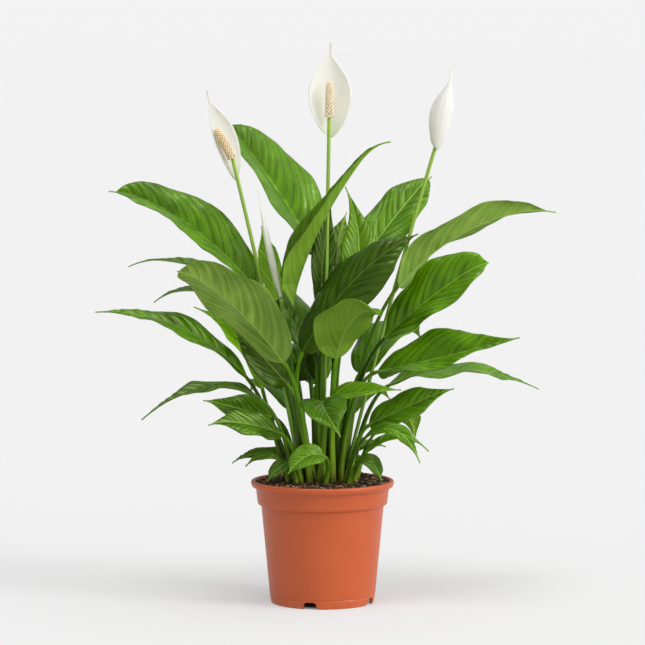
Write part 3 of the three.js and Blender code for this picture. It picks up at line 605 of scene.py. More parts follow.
# Tree that raises the quilting between the side veins and the blade's slow unevenness
def makeReliefTree(materials):
    inputs = {"Blank": "Geometry", **kindsOf(reliefPlan), "Seed": "Float"}
    tree, given = newTree("leafRelief", inputs, "Leaf")
    read = {
        name: addNode(tree, "GeometryNodeInputNamedAttribute", {"Name": name})
        for name in ("vein", "fade", "out", "across", "share", "zone")
    }
    read["lift"] = addNode(
        tree, "GeometryNodeInputNamedAttribute", {"Name": "lift"}, data_type="FLOAT_VECTOR"
    )
    # A rounded bulge between two side veins, creased along each vein
    cycle = addNode(tree, "ShaderNodeMath", {0: read["vein"], 1: 0.5}, operation="PINGPONG")
    toCrest = addNode(tree, "ShaderNodeMath", {0: cycle, 1: -2.0, 2: 1.0}, operation="MULTIPLY_ADD")
    fallen = addNode(tree, "ShaderNodeMath", {0: toCrest, 1: 2.0}, operation="POWER")
    bulge = addNode(tree, "ShaderNodeMath", {0: 1.0, 1: fallen}, operation="SUBTRACT")
    faded = addNode(tree, "ShaderNodeMath", {0: bulge, 1: read["fade"]}, operation="MULTIPLY")
    # Slow lumps, growing outwards from the midrib, where the quilting is also deeper or flatter
    place = addNode(tree, "GeometryNodeInputPosition")
    lumpScale = addNode(tree, "ShaderNodeMath", {0: 1.0, 1: given["Lump Size"]}, operation="DIVIDE")
    lumps = addNode(
        tree, "ShaderNodeTexNoise", {"Vector": place, "W": given["Seed"], "Scale": lumpScale,
        "Detail": 1.0}, noise_dimensions="4D"
    )
    depth = addNode(
        tree, "ShaderNodeMapRange", {"Value": lumps, "From Min": 0.3, "From Max": 0.7, "To Min": 0.35}
    )
    varied = addNode(tree, "ShaderNodeMath", {0: faded, 1: depth}, operation="MULTIPLY")
    quilt = addNode(tree, "ShaderNodeMath", {0: varied, 1: given["Quilt Height"]}, operation="MULTIPLY")
    centred = addNode(tree, "ShaderNodeMath", {0: lumps, 1: 0.5}, operation="SUBTRACT")
    outward = addNode(
        tree, "ShaderNodeMapRange", {"Value": read["out"], "From Max": 15.0},
        interpolation_type="SMOOTHSTEP"
    )
    onBlade = addNode(
        tree, "ShaderNodeMapRange", {"Value": read["share"], "From Min": 0.02, "From Max": 0.2}
    )
    loose = addNode(tree, "ShaderNodeMath", {0: outward, 1: onBlade}, operation="MULTIPLY")
    lumped = addNode(tree, "ShaderNodeMath", {0: centred, 1: loose}, operation="MULTIPLY")
    total = addNode(
        tree, "ShaderNodeMath", {0: lumped, 1: given["Unevenness"], 2: quilt}, operation="MULTIPLY_ADD"
    )
    # Short waves that only reach in from the margin
    rippleScale = addNode(tree, "ShaderNodeMath", {0: 1.0, 1: given["Ripple Size"]}, operation="DIVIDE")
    ripples = addNode(tree, "ShaderNodeTexNoise", {"Vector": place, "Scale": rippleScale, "Detail": 0.0})
    swing = addNode(tree, "ShaderNodeMath", {0: ripples, 1: 0.5}, operation="SUBTRACT")
    outermost = addNode(tree, "ShaderNodeMath", {0: read["across"]}, operation="ABSOLUTE")
    atMargin = addNode(
        tree, "ShaderNodeMapRange", {"Value": outermost, "From Min": 0.45}, interpolation_type="SMOOTHSTEP"
    )
    looseMargin = addNode(tree, "ShaderNodeMath", {0: atMargin, 1: loose}, operation="MULTIPLY")
    rippled = addNode(tree, "ShaderNodeMath", {0: swing, 1: looseMargin}, operation="MULTIPLY")
    withRipple = addNode(
        tree, "ShaderNodeMath", {0: rippled, 1: given["Margin Ripple"], 2: total}, operation="MULTIPLY_ADD"
    )
    offset = addNode(
        tree, "ShaderNodeVectorMath", {"Vector": read["lift"], "Scale": withRipple}, operation="SCALE"
    )
    shape = addNode(tree, "GeometryNodeSetPosition", {"Geometry": given["Blank"], "Offset": offset})
    for zone, material in enumerate(materials):
        chosen = addNode(
            tree, "FunctionNodeCompare", {"A": read["zone"], "B": float(zone), "Epsilon": 0.1},
            data_type="FLOAT", operation="EQUAL"
        )
        shape = addNode(
            tree, "GeometryNodeSetMaterial", {"Geometry": shape, "Selection": chosen, "Material": material}
        )
    addNode(tree, "NodeGroupOutput", {"Leaf": shape})
    return tree


def makeLeaves():
    tree = makeReliefTree([petioleFinish(), bladeFinish("bladeUpper"), bladeFinish("bladeUnder")])
    for index, leaf in enumerate(leaves):
        mesh = leafMesh(leaf, footOf(leaf["name"]), index)
        grown = growPiece(leaf["name"] + "_grown", mesh, tree, {**reliefPlan, "Seed": float(index)})
        finishPiece(grown, leaf["name"])
    print("leaves:", len(leaves), "blades with veins and stalks")


# Finishes of the green parts. Their patterns follow the blade through the attributes kept on its mesh.

bladePlans = {
    # Upper face of a living blade: a waxy cuticle over deep green, so it takes soft streaks of light
    "bladeUpper": {
        "deep": "#143600",
        "bright": "#659A00",
        "vein": "#2C5800",
        "veinShare": 0.3,
        "veinWidth": 0.12,
        "paintedBulgeLight": 0.2,
        "midrib": "#98C050",
        "midribShare": 0.62,
        "margin": "#7FA52C",
        "young": "#7CB00C",
        "roughness": 0.28,
        "gloss": 0.55,
        "glossTint": "#E4FFA8",
        "groove": -0.35 * mm,  # side veins are sunk on this face
    },
    # Lower face: paler and without wax, with raised veins
    "bladeUnder": {
        "deep": "#466A14",
        "bright": "#8AAA48",
        "vein": "#8CAC50",
        "veinShare": 0.35,
        "veinWidth": 0.08,
        "paintedBulgeLight": -0.3,
        "midrib": "#A2C45A",
        "midribShare": 0.8,
        "margin": "#7E9A3C",
        "young": "#80B010",
        "roughness": 0.55,
        "gloss": 0.25,
        "glossTint": "#F4FFC0",
        "groove": 0.25 * mm,
    },
}

petiolePlan = {
    "foot": "#6B5F22",
    "low": "#8AA82C",
    "middle": "#56840F",
    "knee": "#6A9A1C",
    "streak": "#264C03",
    "darkest": 0.34,  # the stalks differ in brightness between these two
    "lightest": 1.25,
    "roughness": 0.33,
    "gloss": 0.35,
    "glossTint": "#DCFFA0",
}


def bladeFinish(name):
    plan = bladePlans[name]
    material, tree, surface = newFinish(name)
    read = {
        key: addNode(tree, "ShaderNodeAttribute", attribute_name=key).outputs["Fac"]
        for key in ("vein", "out", "across", "fade", "tone", "fresh", "young")
    }
    cycle = addNode(tree, "ShaderNodeMath", {0: read["vein"], 1: 0.5}, operation="PINGPONG")
    line = addNode(
        tree, "ShaderNodeMapRange", {"Value": cycle, "From Max": plan["veinWidth"], "To Min": 1.0,
        "To Max": 0.0}, interpolation_type="SMOOTHSTEP"
    )
    veins = addNode(tree, "ShaderNodeMath", {0: line, 1: read["fade"]}, operation="MULTIPLY")
    # Fine streaks that run along the side veins, about five to each gap
    streakPlace = addNode(
        tree, "ShaderNodeCombineXYZ", {"X": read["vein"], "Y": read["out"], "Z": read["fresh"]}
    )
    streakScale = addNode(tree, "ShaderNodeMapping", {"Vector": streakPlace, "Scale": (5.0, 0.05, 9.0)})
    streaks = addNode(tree, "ShaderNodeTexNoise", {"Vector": streakScale, "Scale": 1.0, "Detail": 3.0})
    # Slow patches of lighter and darker green, about 30 mm across
    place = addNode(tree, "ShaderNodeTexCoord").outputs["Object"]
    patches = addNode(tree, "ShaderNodeTexNoise", {"Vector": place, "Scale": 1 / (30 * mm), "Detail": 2.0})
    halfStreaks = addNode(tree, "ShaderNodeMath", {0: streaks, 1: 0.6}, operation="MULTIPLY")
    amount = addNode(tree, "ShaderNodeMath", {0: patches, 1: 0.5, 2: halfStreaks}, operation="MULTIPLY_ADD")
    # Painted light: between two side veins the upper face is painted lighter on the bulge and darker down
    # into the sunk veins, a painted highlight on the ridge and painted shade in the crease; the lower face is
    # painted the other way round, darker between its raised veins
    centred = addNode(tree, "ShaderNodeMath", {0: cycle, 1: 0.25}, operation="SUBTRACT")
    paintedBulgeLight = addNode(
        tree, "ShaderNodeMath", {0: centred, 1: plan["paintedBulgeLight"], 2: amount}, operation="MULTIPLY_ADD"
    )
    shade = addNode(tree, "ShaderNodeMapRange", {"Value": paintedBulgeLight, "From Min": 0.25, "From Max": 0.85})
    veinShare = addNode(tree, "ShaderNodeMath", {0: veins, 1: plan["veinShare"]}, operation="MULTIPLY")
    middle = addNode(
        tree, "ShaderNodeMapRange", {"Value": read["out"], "From Min": 0.3, "From Max": 1.0,
        "To Min": plan["midribShare"], "To Max": 0.0}
    )
    outward = addNode(tree, "ShaderNodeMath", {0: read["across"]}, operation="ABSOLUTE")
    edge = addNode(
        tree, "ShaderNodeMapRange", {"Value": outward, "From Min": 0.97, "From Max": 1.0, "To Max": 0.3}
    )
    # Each colour lies over the one before it by its own share
    colour = linear(plan["deep"])
    over = {"bright": shade, "young": read["young"], "vein": veinShare, "midrib": middle, "margin": edge}
    for key, factor in over.items():
        mixed = addNode(
            tree, "ShaderNodeMix", {"Factor": factor, 6: colour, 7: linear(plan[key])}, data_type="RGBA"
        )
        colour = mixed.outputs[2]
    # Tone: partly the leaf's own colour, partly painted shade and painted light over whole leaves and over
    # one half of some blades
    value = addNode(tree, "ShaderNodeMath", {0: read["tone"], 1: 1.0}, operation="ADD")
    toned = addNode(tree, "ShaderNodeHueSaturation", {"Color": colour, "Value": value})
    rough = addNode(
        tree, "ShaderNodeMapRange", {"Value": streaks, "To Min": plan["roughness"] - 0.08,
        "To Max": plan["roughness"] + 0.12}
    )
    height = addNode(tree, "ShaderNodeMath", {0: veins, 1: plan["groove"]}, operation="MULTIPLY")
    grain = addNode(tree, "ShaderNodeMath", {0: streaks, 1: 0.2 * mm, 2: height}, operation="MULTIPLY_ADD")
    bump = addNode(tree, "ShaderNodeBump", {"Height": grain, "Distance": 1.0, "Strength": 0.4})
    waxed = {
        "Base Color": toned,
        "Specular IOR Level": plan["gloss"],
        "Specular Tint": linear(plan["glossTint"]),
        "Roughness": rough,
        "Normal": bump,
    }
    fillInputs(tree, surface, waxed)
    return material


# Leaf stalk: a firm, finely ribbed stem, silky rather than waxy, paler at the foot
def petioleFinish():
    plan = petiolePlan
    material, tree, surface = newFinish("petiole")
    share, across, fresh = [
        addNode(tree, "ShaderNodeAttribute", attribute_name=name).outputs["Fac"]
        for name in ("share", "across", "fresh")
    ]
    along = addNode(tree, "ShaderNodeMapRange", {"Value": share, "From Min": -1.0, "From Max": 0.0})
    ramp = addNode(tree, "ShaderNodeValToRGB", {0: along})
    for stop, key in ((0.06, "low"), (0.35, "middle"), (0.85, "middle")):
        ramp.color_ramp.elements.new(stop).color = linear(plan[key])
    ramp.color_ramp.elements[0].color = linear(plan["foot"])
    ramp.color_ramp.elements[-1].color = linear(plan["knee"])
    place = addNode(tree, "ShaderNodeCombineXYZ", {"X": across, "Y": share, "Z": fresh})
    spread = addNode(tree, "ShaderNodeMapping", {"Vector": place, "Scale": (4.0, 2.5, 11.0)})
    ribs = addNode(tree, "ShaderNodeTexNoise", {"Vector": spread, "Scale": 1.0, "Detail": 3.0})
    some = addNode(
        tree, "ShaderNodeMapRange", {"Value": ribs, "From Min": 0.35, "From Max": 0.75, "To Max": 0.7}
    )
    streaked = addNode(
        tree, "ShaderNodeMix", {"Factor": some, 6: ramp, 7: linear(plan["streak"])}, data_type="RGBA"
    )
    value = addNode(
        tree, "ShaderNodeMapRange", {"Value": fresh, "To Min": plan["darkest"], "To Max": plan["lightest"]}
    )
    varied = addNode(tree, "ShaderNodeHueSaturation", {"Color": streaked.outputs[2], "Value": value})
    bump = addNode(tree, "ShaderNodeBump", {"Height": ribs, "Distance": 0.5 * mm, "Strength": 0.6})
    silky = {
        "Base Color": varied,
        "Normal": bump,
        "Roughness": plan["roughness"],
        "Specular IOR Level": plan["gloss"],
        "Specular Tint": linear(plan["glossTint"]),
    }
    fillInputs(tree, surface, silky)
    return material


# Flowers

flowerPlan = {
    "stalkRadius": 2.2,
    "spatheThick": 0.5,
    "spatheEndHalf": 1.2,
    "spatheEnd": 0.88,  # share where the broad part ends and the thin tail begins
    "spatheFoot": 0.7,  # below 1 this half is full, above 1 it is hollow
    "spatheTop": 1.15,
    "spatheFootWrap": 0.7,  # share of the full wrap at the foot
    "stalkSteps": 32,
    "spatheSteps": 60,
    "spatheAcross": 28,
    "stalkClearance": 0.8,
    "spatheVeins": 5,  # long veins on each side of the middle one
    "budFoot": 0.2,
    "budPoint": 0.15,
    "budSlenderness": 1.6,
    "budSteps": 48,
    "budAcross": 16,
}

spathePlan = {
    "white": "#E7E5DE",
    "shade": "#D2D2C4",
    "green": "#B4C17E",
    "greenAlong": ((0.0, 0.8), (0.14, 0.12), (0.5, 0.0), (0.9, 0.06), (1.0, 0.9)),  # from foot to tip
    "roughness": 0.5,
    "translucence": 0.7,  # light passes into the thin petal
    "lightReach": 3 * mm,
    "lightSpread": (1.0, 0.95, 0.8),  # red reaches furthest
}

spadixPlan = {
    "Length": 40 * mm,
    "Radius": 4.3 * mm,
    "Florets": 150,
    "Floret Size": 1.6 * mm,
    "Seed": 3,
}

spadixShape = {
    "turn": 137.508,  # degrees from one floret to the next
    "domePower": 7.0,  # the higher, the blunter the tip
    "floretSmallest": (0.82, 0.82, 0.55),
    "floretLargest": (1.08, 1.08, 0.85),
    "shortBy": 2.2,  # the florets' own size makes up for it
    "foot": 1.2,
}

spadixColours = {"cream": "#F0E4C4", "gapShade": "#A8854A", "ripe": "#C09A58", "roughness": 0.7}

flowerStalkPlan = {"low": "#5C8C1E", "high": "#96B83C", "streak": "#56782A", "roughness": 0.4}


# White spathe: soft petal tissue, nearly matt, with faint long veins and green at its two ends
def spatheFinish():
    plan = spathePlan
    material, tree, surface = newFinish("spathePetal")
    share, vein, tone = [
        addNode(tree, "ShaderNodeAttribute", attribute_name=name).outputs["Fac"]
        for name in ("share", "vein", "tone")
    ]
    cycle = addNode(tree, "ShaderNodeMath", {0: vein, 1: 0.5}, operation="PINGPONG")
    line = addNode(
        tree, "ShaderNodeMapRange", {"Value": cycle, "From Max": 0.16, "To Min": 0.45, "To Max": 0.0},
        interpolation_type="SMOOTHSTEP"
    )
    place = addNode(tree, "ShaderNodeTexCoord").outputs["Object"]
    soft = addNode(tree, "ShaderNodeTexNoise", {"Vector": place, "Scale": 1 / (18 * mm), "Detail": 3.0})
    shadeShare = addNode(tree, "ShaderNodeMath", {0: soft, 1: 0.5, 2: line}, operation="MULTIPLY_ADD")
    white = addNode(
        tree, "ShaderNodeMix", {"Factor": shadeShare, 6: linear(plan["white"]), 7: linear(plan["shade"])},
        data_type="RGBA"
    )
    ends = addNode(tree, "ShaderNodeFloatCurve", {"Value": share})
    points = ends.mapping.curves[0].points
    foot, *between, tip = plan["greenAlong"]
    points[0].location = foot
    points[1].location = tip
    for along, greenShare in between:
        points.new(along, greenShare)
    ends.mapping.update()
    tinted = addNode(
        tree, "ShaderNodeMix", {"Factor": ends, 6: white.outputs[2], 7: linear(plan["green"])},
        data_type="RGBA"
    )
    # Tone: painted shade and painted light, darkening one spathe and lightening the bud
    value = addNode(tree, "ShaderNodeMath", {0: tone, 1: 1.0}, operation="ADD")
    toned = addNode(tree, "ShaderNodeHueSaturation", {"Color": tinted.outputs[2], "Value": value})
    bump = addNode(tree, "ShaderNodeBump", {"Height": line, "Distance": -0.3 * mm, "Strength": 0.7})
    petal = {
        "Base Color": toned,
        "Normal": bump,
        "Roughness": plan["roughness"],
        "Subsurface Weight": plan["translucence"],
        "Subsurface Radius": plan["lightSpread"],
        "Subsurface Scale": plan["lightReach"],
    }
    fillInputs(tree, surface, petal)
    return material


# Spadix: tightly set tiny flowers, dry and matt; the low side of each floret, in the gaps between them, is
# painted darker: painted shade
def spadixFinish():
    plan = spadixColours
    material, tree, surface = newFinish("spadixFlorets")
    raised = addNode(tree, "ShaderNodeAttribute", attribute_name="raised").outputs["Fac"]
    place = addNode(tree, "ShaderNodeTexCoord").outputs["Object"]
    grain = addNode(tree, "ShaderNodeTexNoise", {"Vector": place, "Scale": 1 / (1.5 * mm), "Detail": 2.0})
    # Painted shade: each floret is darker towards its foot, down in the gaps
    amount = addNode(tree, "ShaderNodeMath", {0: grain, 1: 0.35, 2: raised}, operation="MULTIPLY_ADD")
    shade = addNode(tree, "ShaderNodeMapRange", {"Value": amount, "From Min": 0.2, "From Max": 0.9})
    colour = addNode(
        tree, "ShaderNodeMix", {"Factor": shade, 6: linear(plan["gapShade"]), 7: linear(plan["cream"])},
        data_type="RGBA"
    )
    ripe = addNode(tree, "ShaderNodeAttribute", attribute_name="ripe").outputs["Fac"]
    ripened = addNode(
        tree, "ShaderNodeMix", {"Factor": ripe, 6: colour.outputs[2], 7: linear(plan["ripe"])},
        data_type="RGBA"
    )
    fillInputs(tree, surface, {"Base Color": ripened.outputs[2], "Roughness": plan["roughness"]})
    return material


# Flower stalk: smooth and rounder than a leaf stalk, finely streaked
def flowerStalkFinish():
    plan = flowerStalkPlan
    material, tree, surface = newFinish("flowerStalk")
    share, across = [
        addNode(tree, "ShaderNodeAttribute", attribute_name=name).outputs["Fac"]
        for name in ("share", "across")
    ]
    base = addNode(
        tree, "ShaderNodeMix", {"Factor": share, 6: linear(plan["low"]), 7: linear(plan["high"])},
        data_type="RGBA"
    )
    place = addNode(tree, "ShaderNodeCombineXYZ", {"X": across, "Y": share})
    spread = addNode(tree, "ShaderNodeMapping", {"Vector": place, "Scale": (5.0, 5.0, 1.0)})
    ribs = addNode(tree, "ShaderNodeTexNoise", {"Vector": spread, "Scale": 1.0, "Detail": 3.0})
    some = addNode(
        tree, "ShaderNodeMapRange", {"Value": ribs, "From Min": 0.4, "From Max": 0.75, "To Max": 0.6}
    )
    streaked = addNode(
        tree, "ShaderNodeMix", {"Factor": some, 6: base.outputs[2], 7: linear(plan["streak"])},
        data_type="RGBA"
    )
    fillInputs(tree, surface, {"Base Color": streaked.outputs[2], "Roughness": plan["roughness"]})
    return material


def plainPiece(name, mesh, material):
    mesh.name = name
    mesh.materials.append(material)
    return addObject(name, mesh)


# A round stem or bud along a line. Its radius follows its length.
def stemPiece(name, places, radii, material, across=12):
    facing, aside = frameSections(places, (0, -1, 0), 0)
    turns = np.linspace(-1, 1, across + 1)
    a = np.sin(np.pi / 2 * turns)
    rounded = np.sqrt(np.maximum(0, 1 - a**2))
    radii = np.asarray(radii)[:, None]
    corners = sheetCorners(places, facing, aside, a * radii, 0 * a * radii, rounded * radii, rounded * radii)
    sections, columns = corners.shape[:2]
    mesh = makeMesh(name, corners.reshape(-1, 3), tubeFaces(sections, columns))
    shares = np.linspace(0, 1, sections)[:, None]
    store(mesh, "share", np.repeat(shares, columns, axis=1))
    ring = np.arange(columns) / columns
    store(mesh, "across", np.repeat(np.abs(2 * ring - 1)[None], sections, axis=0))
    return plainPiece(name, mesh, material)


def makeFlowerStalk(name, bend, top, material):
    foot = footOf(name)
    crown = np.array([foot[0], foot[1], leafPlan["crownLevel"]])
    shares = np.linspace(0, 1, flowerPlan["stalkSteps"] + 1)
    line = bezierPoints(crown, np.array(bend, float), np.array(top, float), shares)
    places = np.vstack([[foot[0], foot[1], leafPlan["stemBottom"]], line])
    radii = np.full(len(places), flowerPlan["stalkRadius"])
    stalk = stemPiece(name + "_grown", places, radii, material)
    finishPiece(stalk, name)


def spatheOutline(share):
    plan = flowerPlan
    broad = np.minimum(share / plan["spatheEnd"], 1)
    return (4 * broad * (1 - broad)) ** np.where(broad < 0.5, plan["spatheFoot"], plan["spatheTop"])


def makeSpathe(flower, material):
    plan = flowerPlan
    start = np.array(flower["spatheBase"], float)
    end = np.array(flower["spatheTip"], float)
    control = throughMiddle(start, np.array(flower["spatheMiddle"], float), end)
    shares = np.linspace(0, 1, plan["spatheSteps"] + 1)
    places = bezierPoints(start, control, end, shares)
    facing, aside = frameSections(places, flower["face"], plan["spatheSteps"] // 2)
    a = np.linspace(-1, 1, plan["spatheAcross"] + 1)
    share = shares[:, None]
    half = np.maximum(flower["half"] * spatheOutline(share), plan["spatheEndHalf"])
    wrap = math.radians(flower["wrap"]) * np.minimum(1, plan["spatheFootWrap"] + 2 * share)
    radius = half / wrap
    turn = wrap * a
    side = radius * np.sin(turn)
    rise = radius * (1 - np.cos(turn))
    thick = np.full(side.shape, plan["spatheThick"])
    corners = sheetCorners(places, facing, aside, side, rise, thick, thick, turn)
    sections, columns = corners.shape[:2]
    name = "spathe_" + flower["name"]
    mesh = makeMesh(name, corners.reshape(-1, 3), tubeFaces(sections, columns))
    store(mesh, "share", wrapped(share + 0 * a))
    store(mesh, "vein", wrapped(a * plan["spatheVeins"] + 0 * share))
    store(mesh, "tone", np.full(sections * columns, flower.get("tone", 0.0)))
    piece = plainPiece(name + "_grown", mesh, material)
    finishPiece(piece, name)


def makeBud(material):
    plan = flowerPlan
    base = np.array(bud["base"], float) + (0, 0, plan["stalkClearance"])
    tip = np.array(bud["tip"], float)
    control = throughMiddle(base, np.array(bud["bend"], float), tip)
    shares = np.linspace(0, 1, plan["budSteps"] + 1)
    places = bezierPoints(base, control, tip, shares)
    turn = np.pi * (plan["budFoot"] + (1 - plan["budFoot"]) * shares)
    swell = np.maximum(plan["budPoint"], np.maximum(np.sin(turn), 0) ** plan["budSlenderness"])
    piece = stemPiece("spathe_bud_grown", places, bud["radius"] * swell, material, plan["budAcross"])
    store(piece.data, "vein", np.full(len(piece.data.vertices), 0.5))
    store(piece.data, "tone", np.full(len(piece.data.vertices), bud["tone"]))
    finishPiece(piece, "spathe_bud")


# Tree that sets florets in a spiral up a domed column, standing on the origin along +Z
def makeSpadixTree(material):
    plan = spadixShape
    tree, given = newTree("spadixFlorets", kindsOf(spadixPlan), "Spadix")
    count = addNode(tree, "GeometryNodePoints", {"Count": given["Florets"]})
    index = addNode(tree, "GeometryNodeInputIndex")
    share = addNode(tree, "ShaderNodeMath", {0: index, 1: given["Florets"]}, operation="DIVIDE")
    turn = addNode(tree, "ShaderNodeMath", {0: index, 1: math.radians(plan["turn"])}, operation="MULTIPLY")
    # The dome over the tip: the radius falls away as the share nears one
    fall = addNode(tree, "ShaderNodeMath", {0: share, 1: plan["domePower"]}, operation="POWER")
    rest = addNode(tree, "ShaderNodeMath", {0: 1.0, 1: fall}, operation="SUBTRACT")
    dome = addNode(tree, "ShaderNodeMath", {0: rest}, operation="SQRT")
    radius = addNode(tree, "ShaderNodeMath", {0: dome, 1: given["Radius"]}, operation="MULTIPLY")
    across = addNode(tree, "ShaderNodeMath", {0: turn}, operation="COSINE")
    deep = addNode(tree, "ShaderNodeMath", {0: turn}, operation="SINE")
    x = addNode(tree, "ShaderNodeMath", {0: across, 1: radius}, operation="MULTIPLY")
    y = addNode(tree, "ShaderNodeMath", {0: deep, 1: radius}, operation="MULTIPLY")
    z = addNode(tree, "ShaderNodeMath", {0: share, 1: given["Length"]}, operation="MULTIPLY")
    place = addNode(tree, "ShaderNodeCombineXYZ", {"X": x, "Y": y, "Z": z})
    points = addNode(tree, "GeometryNodeSetPosition", {"Geometry": count, "Position": place})
    outX = addNode(tree, "ShaderNodeMath", {0: across, 1: dome}, operation="MULTIPLY")
    outY = addNode(tree, "ShaderNodeMath", {0: deep, 1: dome}, operation="MULTIPLY")
    outward = addNode(tree, "ShaderNodeCombineXYZ", {"X": outX, "Y": outY, "Z": fall})
    leaned = addNode(tree, "FunctionNodeAlignRotationToVector", {"Vector": outward}, axis="Z")
    floret = addNode(tree, "GeometryNodeMeshIcoSphere", {"Radius": given["Floret Size"], "Subdivisions": 2})
    own = addNode(tree, "GeometryNodeInputPosition")
    ownHeight = addNode(tree, "ShaderNodeSeparateXYZ", {"Vector": own})
    raised = addNode(
        tree, "ShaderNodeMath", {0: ownHeight.outputs["Z"], 1: given["Floret Size"]}, operation="DIVIDE"
    )
    marked = addNode(
        tree, "GeometryNodeStoreNamedAttribute", {"Geometry": floret, "Name": "raised", "Value": raised},
        data_type="FLOAT", domain="POINT"
    )
    size = addNode(
        tree, "FunctionNodeRandomValue", {"Min": plan["floretSmallest"], "Max": plan["floretLargest"],
        "Seed": given["Seed"]}, data_type="FLOAT_VECTOR"
    )
    florets = addNode(
        tree, "GeometryNodeInstanceOnPoints", {"Points": points, "Instance": marked, "Rotation": leaned,
        "Scale": size}
    )
    whole = addNode(tree, "GeometryNodeRealizeInstances", {"Geometry": florets})
    finished = addNode(tree, "GeometryNodeSetMaterial", {"Geometry": whole, "Material": material})
    smooth = addNode(tree, "GeometryNodeSetShadeSmooth", {"Geometry": finished})
    addNode(tree, "NodeGroupOutput", {"Spadix": smooth})
    return tree


def makeSpadix(flower, tree):
    shape = spadixShape
    base = Vector(flower["spadixBase"]) * mm
    axis = Vector(flower["spadixTip"]) * mm - base
    plan = {**spadixPlan, "Length": axis.length - shape["shortBy"] * mm}
    name = "spadix_" + flower["name"]
    piece = growPiece(name + "_grown", bpy.data.meshes.new("spadixStart"), tree, plan)
    stand = axis.to_track_quat("Z", "Y").to_matrix().to_4x4()
    base += axis.normalized() * shape["foot"] * mm
    piece.data.transform(Matrix.Translation(base) @ stand)
    store(piece.data, "ripe", np.full(len(piece.data.vertices), flower.get("ripe", 0.0)))
    finishPiece(piece, name)


def makeFlowers():
    stalk = flowerStalkFinish()
    petal = spatheFinish()
    tree = makeSpadixTree(spadixFinish())
    for flower in flowers:
        makeFlowerStalk("stalk_" + flower["name"], flower["stalkBend"], flower["spadixBase"], stalk)
        makeSpathe(flower, petal)
        makeSpadix(flower, tree)
    makeFlowerStalk("stalk_bud", bud["stalkBend"], bud["base"], stalk)
    makeBud(petal)
    print("flowers:", len(flowers), "and one bud")


# Pot

potPlan = {
    "segments": 192,
    "wall": 1.5,
    "base": 60,
    "bodyTop": 73,
    "band": 77.5,
    "bandTop": 79.5,
    "bandBottom": 116.2,
    "lipBottom": 139,
    "lip": 85,
    "lipRound": 1.6,
    "lipStep": 0.8,  # the lower part of the lip stands back
    "lipStepHeight": 2.4,
    "flare": 2.2,  # the mouth opens a little inside the lip
    "height": 146,
    "floorUnderside": 6,
    "floorThick": 2,
    "footRing": 2,
    "crease": 10,
    "notchTurns": (-14, 66, 166, 246),
    "notchBottom": 18,
    "notchTop": 14,
    "notchHeight": 8.3,
    "notchReach": 14,
    "notchStart": 4,  # outside the base, where the cut comes in
    "notchRound": 1.2,
    "sharpFrom": 38,  # degrees between two faces that meet in a crisp edge
}

potColours = {
    "clay": "#B64C14",
    "light": "#C4602A",
    "dark": "#964018",
    "dust": "#C9A58E",
    "roughness": 0.42,
    "gloss": 0.55,
}


# Arc between two directions, for the rounded corners of the pot's section
def cornerArc(centre, radius, fromTurn, toTurn, steps=5):
    turns = np.radians(np.linspace(fromTurn, toTurn, steps + 1))
    return [(centre[0] + radius * math.cos(t), centre[1] + radius * math.sin(t)) for t in turns]


def potSection():
    plan = potPlan
    base, bodyTop, band = plan["base"], plan["bodyTop"], plan["band"]
    bandTop, lip, wall = plan["bandTop"], plan["lip"], plan["wall"]
    crease, bandBottom, lipBottom = plan["crease"], plan["bandBottom"], plan["lipBottom"]
    top = plan["height"]
    floorUnderside = plan["floorUnderside"]
    floorTop = floorUnderside + plan["floorThick"]
    insideBase = base - plan["footRing"]
    inside = bandTop - wall
    rounded = plan["lipRound"]
    step = plan["lipStep"]
    stepTop = lipBottom + plan["lipStepHeight"]
    return [
        (0, floorUnderside),
        (insideBase - 1.2, floorUnderside),
        (insideBase - 0.3, floorUnderside - 0.4),
        (insideBase, floorUnderside - 1.2),
        (insideBase, 0.3),
        (insideBase + 0.3, 0),
        (base - 0.1, 0),
        *cornerArc((base, 1.3), 1.3, -90, -5, 4),
        (base + 2, 4),
        (base + 2.6, crease - 1.2),
        (base + 2.6, crease - 0.5),
        (base + 2.3, crease),
        (base + 2.7, crease + 0.6),
        (base + 3.1, crease + 2.2),
        (bodyTop - 0.25, bandBottom - 2),
        (bodyTop, bandBottom - 0.3),
        (bodyTop + 0.7, bandBottom + 0.3),
        (bodyTop + 2.6, bandBottom + 1.2),
        (band - 0.7, bandBottom + 2.4),
        (band - 0.15, bandBottom + 3.8),
        (band + 0.05, bandBottom + 6),
        (bandTop - 0.1, lipBottom - 1.5),
        (bandTop + 0.3, lipBottom - 0.5),
        (bandTop + 1.2, lipBottom),
        *cornerArc((lip - step - 0.8, lipBottom + 0.8), 0.8, -90, 0, 3),
        (lip - step, stepTop - 0.3),
        *cornerArc((lip - 0.7, stepTop + 0.7), 0.7, -90, 0, 3),
        *cornerArc((lip - rounded, top - rounded), rounded, 0, 90),
        *cornerArc((inside + plan["flare"] + 1, top - 1), 1, 90, 180, 4),
        (inside + plan["flare"] - 0.4, top - 2.6),
        (inside, top - 4.6),
        (inside, lipBottom),
        (band - wall, bandBottom + 5),
        (band - wall - 0.7, bandBottom + 3.2),
        (bodyTop - wall, bandBottom + 1.2),
        (base + 1.2, floorTop + 2),
        (base - 0.2, floorTop),
        (0, floorTop),
    ]


def latheMesh(name, section, segments):
    corners = [(0, 0, section[0][1])]
    for radius, height in section[1:-1]:
        for k in range(segments):
            turn = 2 * math.pi * k / segments
            corners.append((radius * math.cos(turn), radius * math.sin(turn), height))
    corners.append((0, 0, section[-1][1]))
    faces = []
    last = len(corners) - 1
    rings = len(section) - 2
    for k in range(segments):
        after = (k + 1) % segments
        faces.append((0, 1 + after, 1 + k))
        for ring in range(rings - 1):
            a = 1 + ring * segments + k
            b = 1 + ring * segments + after
            faces.append((a, b, b + segments, a + segments))
        top = 1 + (rings - 1) * segments
        faces.append((top + k, top + after, last))
    return makeMesh(name, corners, faces)


